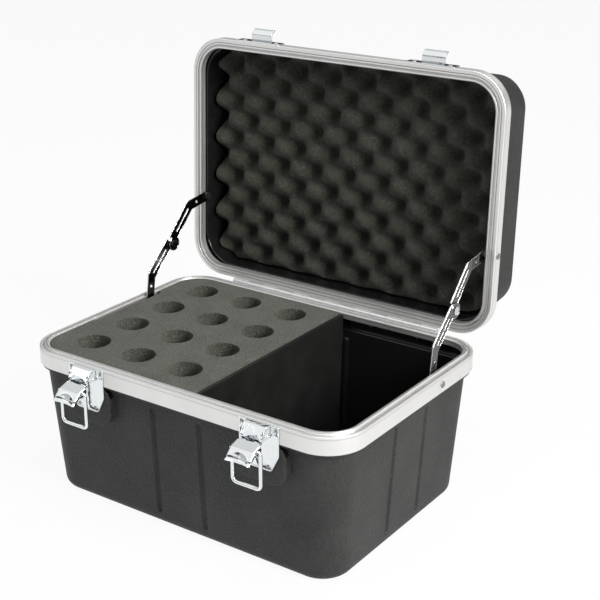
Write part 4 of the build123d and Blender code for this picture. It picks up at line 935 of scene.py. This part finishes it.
def make_foam_pad():
    """The plain foam layer under the block; its top is the floor of the wells."""
    low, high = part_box("foam_base_pad")
    middle = (low + high) / 2
    reach = (high - low) / 2
    ways = ((-1, -1, PAD_CORNER), (1, -1, 1), (1, 1, 1), (-1, 1, PAD_CORNER))
    corners = [(sign_x * reach.x / MM, sign_y * reach.y / MM, radius) for sign_x, sign_y, radius in ways]
    place = Matrix.Translation((middle.x, middle.y, 0))
    pad = flat_piece("foam_pad_block", [rounded_outline(corners)], low.z, high.z, PAD_EDGE, place,
                     "insert_foam")
    for vert in pad.data.vertices:
        fall = (high.z - vert.co.z) / (high.z - low.z)
        vert.co.y *= 1 - PAD_LEAN_Y * fall
        vert.co.x = high.x + (vert.co.x - high.x) * (1 - PAD_LEAN_X * fall)
    pad = weighted(pad)
    settle(pad, "base", "insert_foam", "foam_base_pad")


# ---- latches ---------------------------------------------------------------------------------
def latch_plane(side):
    """Across, up and out at a latch become the local X, Y and Z."""
    return Matrix(((1, 0, 0, side * LATCH_X), (0, 0, -1, PLATE_FACE), (0, 1, 0, RIM), (0, 0, 0, 1)))


def profile_plane(x, y, z):
    """Out and up from a place become the local X and Y, and Z runs across the latch."""
    return Matrix(((0, 0, 1, x), (-1, 0, 0, y), (0, 1, 0, z), (0, 0, 0, 1)))


def make_shield(side):
    """The riveted shield: a low field inside a raised, rounded border."""
    outline = rounded_outline(PLATE_CORNERS)
    inner = rounded_outline(inset_corners(PLATE_CORNERS, PLATE_BORDER))
    place = latch_plane(side)
    return [flat_piece("field", [outline], -PLATE_THICKNESS, -PLATE_FIELD_DEPTH, SHEET_ROUND, place,
                       "chrome"),
            flat_piece("border", [outline, inner], BORDER_LOW, BORDER_HIGH, BORDER_ROUND, place, "chrome")]


def housing_rows():
    """Sections across the folded cap, from its top down to its lower edges."""
    corner = HOUSING_CORNER
    route = rounded_route(((-HOUSING_HALF, -EAR_SINK, 0), (-HOUSING_HALF, HOUSING_DEPTH, corner),
                           (HOUSING_HALF, HOUSING_DEPTH, corner), (HOUSING_HALF, -EAR_SINK, 0)))
    section = []
    for start, end in zip(route, route[1:]):
        steps = max(1, round((end - start).length / HOUSING_STEP))
        section += [start.lerp(end, i / steps) / MM for i in range(steps)]
    section.append(route[-1] / MM)
    half_arch, arch = FRONT_ARCH
    lowest = []
    for x, out in section:
        if out > HOUSING_DEPTH - 0.01:
            low = FRONT_BOTTOM + arch * math.sqrt(max(0.0, 1 - (x / half_arch) ** 2))
        elif out > HOUSING_DEPTH - EAR_ROUND:
            way = (out - HOUSING_DEPTH + EAR_ROUND) / EAR_ROUND
            low = EAR_BOTTOM + (FRONT_BOTTOM - EAR_BOTTOM) * (1 - math.sqrt(1 - way ** 2))
        else:
            low = EAR_BOTTOM
        lowest.append(low)
    profile = [point / MM for point in rounded_route(HOUSING_PROFILE, 8)]
    turned = profile[-2]
    rows = []
    for start, end in zip(profile, profile[1:-1]):
        steps = max(1, round((end - start).length))
        for i in range(1, steps + 1):
            reach, up = start.lerp(end, i / steps)
            rows.append([(x, out * reach / HOUSING_DEPTH, up) for x, out in section])
    for i in range(1, FRONT_ROWS + 1):
        row = []
        for (x, out), low in zip(section, lowest):
            up = turned.y + (low - turned.y) * i / FRONT_ROWS
            share = min((turned.y - up) / (turned.y - profile[-1].y), 1.0)
            reach = turned.x + (profile[-1].x - turned.x) * share
            row.append((x, out * reach / HOUSING_DEPTH, up))
        rows.append(row)
    return rows


def make_housing(side):
    """The cap over the root of the lever: a rolled front with an arch, and two ears."""
    place = latch_plane(side)
    placed = [[place @ (Vector((x, up, out)) * MM) for x, out, up in row] for row in housing_rows()]
    return sheet_piece("housing", placed, "chrome", SHEET, Vector((0, -1, 0.3)))


def pin_end(name, shape, size, out, up, side, way):
    """The worked end of a cross pin, spun from its shape."""
    place = latch_plane(side) @ Matrix.Translation(Vector((way * HOUSING_HALF, up, out)) * MM)
    place = place @ Matrix.Rotation(way * math.pi / 2, 4, "Y")
    radius, stand = (value * MM for value in size)
    profile = [(radius * across, stand * share + depth * MM) for across, share, depth in shape]
    return lathe(name, profile, place, "chrome")


def make_pins(side):
    """Both cross pins of a housing: a flared tube at the pivot and a domed stud at the stop."""
    pivot_out, pivot_up = (PLATE_FACE - LEVER_PIVOT.y) / MM, (LEVER_PIVOT.z - RIM) / MM
    pieces = []
    for way in (-1, 1):
        pieces.append(pin_end("tube", TUBE_PROFILE, PIVOT_END, pivot_out, pivot_up, side, way))
        pieces.append(pin_end("stud", STUD_PROFILE, STOP_END, *STOP_PIN, side, way))
    return pieces


def along_face():
    """The lever's face as a finely stepped route: way along it, place (out, drop) and outward normal."""
    route = [point / MM for point in rounded_route(LEVER_FACE, 8)]
    stations, gone = [], 0.0
    fine = []
    for start, end in zip(route, route[1:]):
        steps = max(1, round((end - start).length / LEVER_STEP))
        fine += [start.lerp(end, i / steps) for i in range(steps)]
    fine.append(route[-1])
    for i, point in enumerate(fine):
        before, after = fine[max(i - 1, 0)], fine[min(i + 1, len(fine) - 1)]
        way = (after - before).normalized()
        gone += (point - fine[i - 1]).length if i else 0.0
        stations.append((gone, point, Vector((way.y, -way.x))))
    return stations


def between(table, way):
    """A value read from (way, value) pairs, with a smooth step from each to the next."""
    for (start, low), (end, high) in zip(table, table[1:]):
        if way <= end:
            share = min(max((way - start) / (end - start), 0.0), 1.0)
            return low + (high - low) * share * share * (3 - 2 * share)
    return table[-1][1]


def lever_section(way, total):
    """Across and inward distances of the lever's section at a way along its face."""
    half = between(((LEVER_SHOULDER[0], LEVER_ROOT_HALF), (LEVER_SHOULDER[1], LEVER_HALF)), way)
    depth = between(FLANGE_DEPTHS, way)
    fold = min(LEVER_FOLD, max(depth, 0.3))
    right = [(half, depth - (depth - fold) * i / 5) for i in range(5)]
    right += [(half - fold + fold * math.cos(a), fold - fold * math.sin(a))
              for a in (math.pi / 2 * i / 6 for i in range(7))]
    flat = [((half - fold) * (1 - i / 12), 0.0) for i in range(1, 24)]
    section = right + flat + [(-x, inward) for x, inward in reversed(right)]
    shaped = []
    for x, inward in section:
        reach = math.hypot(x / SCOOP_HALF, (total - way - SCOOP_RISE) / SCOOP_LENGTH)
        dish = SCOOP_DEPTH * (1 - reach ** 2) if reach < 1 else 0.0
        curl = LIP_CURL * (max(0.0, 1 - (total - way) / LIP_LENGTH)) ** 2
        shaped.append((x, inward + dish - curl * (1.0 if inward < fold else 0.5)))
    return shaped


def make_lever(side):
    """A pressed lever: two facets, folded flanges, a dished thumb scoop and a curled lip."""
    stations = along_face()
    total = stations[-1][0]
    notch_half, notch_depth = LEVER_NOTCH
    rows = []
    for way, point, normal in stations:
        row = []
        for x, inward in lever_section(way, total):
            spot = point - normal * inward
            arch = math.sqrt(max(0.0, 1 - (x / notch_half) ** 2))
            cut = notch_depth * arch * max(0.0, 1 - way / NOTCH_FADE)
            spot -= Vector((-normal.y, normal.x)) * cut
            row.append(Vector((side * LATCH_X + x * MM, LEVER_PIVOT.y - spot.x * MM,
                               LEVER_PIVOT.z - spot.y * MM)))
        rows.append(row)
    pieces = [sheet_piece("face", rows, "chrome", SHEET, Vector((0, -1, 1)))]
    cheek = rounded_outline([(out, -drop, radius) for out, drop, radius in LEVER_CHEEK], 4)
    eye = circle_outline((0, 0), LEVER_EYE)
    for edge in (-1, 1):
        across = edge * (LEVER_ROOT_HALF * MM - SHEET / 2)
        place = profile_plane(side * LATCH_X + across, LEVER_PIVOT.y, LEVER_PIVOT.z)
        pieces += [flat_piece(name, [outline], -SHEET / 2, SHEET / 2, SHEET_ROUND, place, "chrome")
                   for name, outline in (("cheek", cheek), ("eye", eye))]
    return pieces


def make_latches():
    for word, side in SIDES:
        plate = joined("latch_shield_" + word, make_shield(side) + [make_housing(side)])
        settle(plate, "base", "latch_chrome", "latch_plate_" + word)
        pins = joined("latch_pin_ends_" + word, make_pins(side))
        settle(pins, "base", "latch_chrome", "latch_pins_" + word)
        lever = joined("latch_lever_sheet_" + word, make_lever(side))
        settle(lever, "latch_lever_" + word, "latch_chrome", "latch_lever_" + word)
        hang = Matrix(((1, 0, 0, side * LATCH_X), (0, 0, -1, SLEEVE.y), (0, 1, 0, SLEEVE.z), (0, 0, 0, 1)))
        route = rounded_route(BAIL_ROUTE, 7)
        bail = wire_piece("latch_bail_wire_" + word, route, BAIL_WIRE, hang, "chrome")
        settle(bail, "latch_bail_" + word, "latch_chrome", "latch_bail_" + word)


def make_keepers():
    """A riveted plate on the lid with a rolled hook."""
    for word, side in SIDES:
        place = latch_plane(side)
        plate = flat_piece("plate", [rounded_outline(KEEPER_CORNERS)], -PLATE_THICKNESS, 0, KEEPER_ROUND,
                           place, "chrome")
        hook = flat_piece("hook", [rounded_outline(HOOK_SECTION, 8)], -HOOK_HALF, HOOK_HALF, KEEPER_ROUND,
                          profile_plane(side * LATCH_X, PLATE_FACE, RIM), "chrome")
        keeper = swung_open(joined("keeper_sheet_" + word, [plate, hook]))
        settle(keeper, "lid", "latch_chrome", "keeper_" + word)


# ---- stays -----------------------------------------------------------------------------------
def slot_length(outline):
    low, high = extent(outline)
    return max(high - low)


def make_link(node, body):
    """A pressed link: a flat web with its slot and holes, and a low bead along its rim."""
    low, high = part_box(node)
    rim, *holes = face_outlines(node, 0)
    outlines = [rim] + [hole if slot_length(hole) < SLOT_LENGTH else shrunk(hole, SLOT_LIP)
                        for hole in holes]
    half = (high.x - low.x) / 2
    place = Matrix(((0, 0, 1, low.x + half), (1, 0, 0, 0), (0, 1, 0, 0), (0, 0, 0, 1)))
    web = flat_piece("web", outlines, WEB_SINK - half, half - WEB_SINK, LINK_ROUND, place, "stay")
    bead = wire_piece("bead", [(*point, 0) for point in shrunk(rim, RIM_BEAD)], RIM_BEAD,
                      place @ Matrix.Diagonal((1, 1, half / RIM_BEAD, 1)), "stay", closed=True)
    settle(joined(node + "_pressed", [web, bead]), body, "stay_steel", node)


def make_stays():
    for word, _ in SIDES:
        for half in ("lower", "upper"):
            make_link(f"stay_{half}_link_{word}", f"stay_{half}_{word}")


# ---- rivets ----------------------------------------------------------------------------------
def rivet_tree():
    """Puts a head on every point, its height along the point's own way."""
    tree, given = shape_tree("rivet_heads", (("Head", "Object"),))
    head = add_node(tree, "GeometryNodeObjectInfo", {"Object": given["Head"]})
    turn = add_node(tree, "FunctionNodeAlignRotationToVector",
                    {"Vector": attribute(tree, "way", "FLOAT_VECTOR")}, axis="Z")
    heads = add_node(tree, "GeometryNodeInstanceOnPoints",
                     {"Points": given["Geometry"], "Instance": head.outputs["Geometry"],
                      "Rotation": turn.outputs[0], "Scale": attribute(tree, "size", "FLOAT_VECTOR")})
    return end_tree(tree, given, heads.outputs[0])


def rivet_ends(node, on_lid):
    """Both end places of each rivet in a node, in mesh order: middle of the end, way out and radius."""
    work = bmesh.new()
    work.from_mesh(frame["nodes"][node].data)
    if on_lid:
        bmesh.ops.transform(work, matrix=SWING.inverted(), verts=work.verts)
    bmesh.ops.remove_doubles(work, verts=work.verts, dist=1e-6)
    seen, ends = set(), []
    for start in work.verts:
        if start in seen:
            continue
        seen.add(start)
        group, edge = [], [start]
        while edge:
            vert = edge.pop()
            group.append(vert.co)
            for link in vert.link_edges:
                other = link.other_vert(vert)
                if other not in seen:
                    seen.add(other)
                    edge.append(other)
        low, high = extent(group)
        size = high - low
        gaps = [abs(size[i - 1] - size[i - 2]) for i in range(3)]
        axis = gaps.index(min(gaps))
        radius = size[axis - 1] / 2
        for sign in (-1, 1):
            way = Vector([sign if i == axis else 0.0 for i in range(3)])
            middle = (low + high) / 2
            middle[axis] = high[axis] if sign > 0 else low[axis]
            ends.append((middle - way * RIVET_HEAD, way, radius))
    work.free()
    return ends


def make_rivets(body, start, tree, head):
    """All the rivet heads on the base or the lid as one piece."""
    on_lid = body == "lid"
    nodes = [f"hinge_{body}_rivets"] + [start + word for word, _ in SIDES]
    ends = [end for node in nodes for end in rivet_ends(node, on_lid)]
    if on_lid:
        ends = [(SWING @ place, SWING.to_3x3() @ way, radius) for place, way, radius in ends]
    name = "rivet_heads_" + body
    mesh = bpy.data.meshes.new(name)
    mesh.from_pydata([tuple(place) for place, _, _ in ends], [], [])
    for title, values in (("way", [way for _, way, _ in ends]),
                          ("size", [(radius, radius, RIVET_HEAD) for _, _, radius in ends])):
        layer = mesh.attributes.new(title, "FLOAT_VECTOR", "POINT")
        layer.data.foreach_set("vector", [number for value in values for number in value])
    rivets = grown(shown(name, mesh), tree, {"Head": head, "Finish": FINISH["rivet"]})
    for extra in ("way", "size"):
        if extra in rivets.data.attributes:
            rivets.data.attributes.remove(rivets.data.attributes[extra])
    settle(smoothed(rivets, 50.0), body, "rivet_steel", *nodes)


def make_all_rivets():
    tree = rivet_tree()
    head = lathe("rivet_head", RIVET_PROFILE, Matrix(), "rivet", 24)
    make_rivets("base", "latch_rivets_", tree, head)
    make_rivets("lid", "keeper_rivets_", tree, head)
    bpy.data.objects.remove(head)


# ---- light, floor and camera -----------------------------------------------------------------
def studio_world():
    """White for the camera, a banded sky for mirrors and glass, and a plain soft fill for the rest."""
    world = bpy.data.worlds.new("studio")
    bpy.context.scene.world = world
    tree = empty_tree(world)
    path = add_node(tree, "ShaderNodeLightPath").outputs
    split = xyz(tree, add_node(tree, "ShaderNodeTexCoord").outputs["Generated"])
    level = ramp(tree, times_add(tree, split[2], 0.5, 0.5), (0.0, 1.0), (0.50, 0.5), (0.53, 0.06),
                 (0.68, 0.10), (0.74, 1.0), (1.0, 1.0))
    depth = ramp(tree, times_add(tree, split[1], 0.5, 0.5), (0.0, 1.0), (0.48, 1.0), (0.62, 0.78),
                 (1.0, 0.7))
    white, mirror_sky, fill = (
        add_node(tree, "ShaderNodeBackground", {"Color": colour, "Strength": strength})
        for colour, strength in ((grey(1), 1.0), (times(tree, level, depth), 1.0), (grey(1), FILL_STRENGTH)))
    glossy = maths(tree, "MAXIMUM", path["Is Glossy Ray"], path["Is Transmission Ray"])
    first = add_node(tree, "ShaderNodeMixShader", {0: glossy, 1: fill.outputs[0], 2: mirror_sky.outputs[0]})
    second = add_node(tree, "ShaderNodeMixShader",
                      {0: path["Is Camera Ray"], 1: first.outputs[0], 2: white.outputs[0]})
    add_node(tree, "ShaderNodeOutputWorld", {"Surface": second.outputs[0]})


def floor_finish():
    """Pale floor: nearly white to the camera and near the case in mirrors, with its soft shadow kept."""
    material = bpy.data.materials.new("floor")
    tree = empty_tree(material)
    path = add_node(tree, "ShaderNodeLightPath").outputs
    seen = maths(tree, "MAXIMUM", path["Is Camera Ray"],
                 maths(tree, "MAXIMUM", path["Is Glossy Ray"], path["Is Transmission Ray"]))
    place = object_place(tree)
    reach = add_node(tree, "ShaderNodeVectorMath", {0: place}, operation="LENGTH").outputs["Value"]
    sweep = ramp(tree, maths(tree, "DIVIDE", reach, MIRROR_REACH), (0.0, 1.0), (0.12, 1.0), (0.19, 0.85))
    behind = ramp(tree, xyz(tree, place)[1], (0.0, 1.0), (0.30, 0.8))
    mirrored = times(tree, times(tree, sweep, behind), maths(tree, "SUBTRACT", 1.0, path["Is Camera Ray"]))
    plain = add_node(tree, "ShaderNodeBsdfDiffuse", {"Color": grey(FLOOR_TONE)})
    glow = maths(tree, "ADD", mirrored, path["Is Camera Ray"])
    bright = add_node(tree, "ShaderNodeEmission", {"Color": grey(1), "Strength": glow})
    share = times(tree, seen, FLOOR_SEEN_WHITE)
    mixed = add_node(tree, "ShaderNodeMixShader", {0: share, 1: plain.outputs[0], 2: bright.outputs[0]})
    add_node(tree, "ShaderNodeOutputMaterial", {"Surface": mixed.outputs[0]})
    return material


def make_floor():
    mesh = bpy.data.meshes.new("floor")
    corners = [(x * FLOOR_REACH, y * FLOOR_REACH, 0) for x, y in ((-1, -1), (1, -1), (1, 1), (-1, 1))]
    mesh.from_pydata(corners, [], [(0, 1, 2, 3)])
    mesh.materials.append(floor_finish())
    floor = shown("floor", mesh)


def make_lamp(name, place, size, power, colour):
    lamp = bpy.data.lights.new(name, "AREA")
    lamp.shape = "DISK"
    lamp.size = size
    lamp.energy = power
    lamp.color = colour
    holder = shown(name, lamp)
    holder.location = place
    holder.rotation_euler = (LAMP_TARGET - Vector(place)).to_track_quat("-Z", "Y").to_euler()


def make_camera():
    camera = bpy.data.cameras.new("camera")
    camera.lens = CAMERA_LENS
    camera.sensor_width = 36.0
    holder = shown("camera", camera)
    forward = Vector((-math.sin(CAMERA_AZIMUTH) * math.cos(CAMERA_ELEVATION),
                      math.cos(CAMERA_AZIMUTH) * math.cos(CAMERA_ELEVATION), -math.sin(CAMERA_ELEVATION)))
    holder.location = CAMERA_PLACE
    holder.rotation_euler = forward.to_track_quat("-Z", "Y").to_euler()
    bpy.context.scene.camera = holder


dress_nodes()
make_lid_foam()
make_foam_insert()
make_foam_pad()
make_latches()
make_keepers()
make_stays()
make_all_rivets()
studio_world()
make_floor()
for lamp in LAMPS:
    make_lamp(*lamp)
make_camera()
bpy.context.scene.view_settings.view_transform = "Standard"
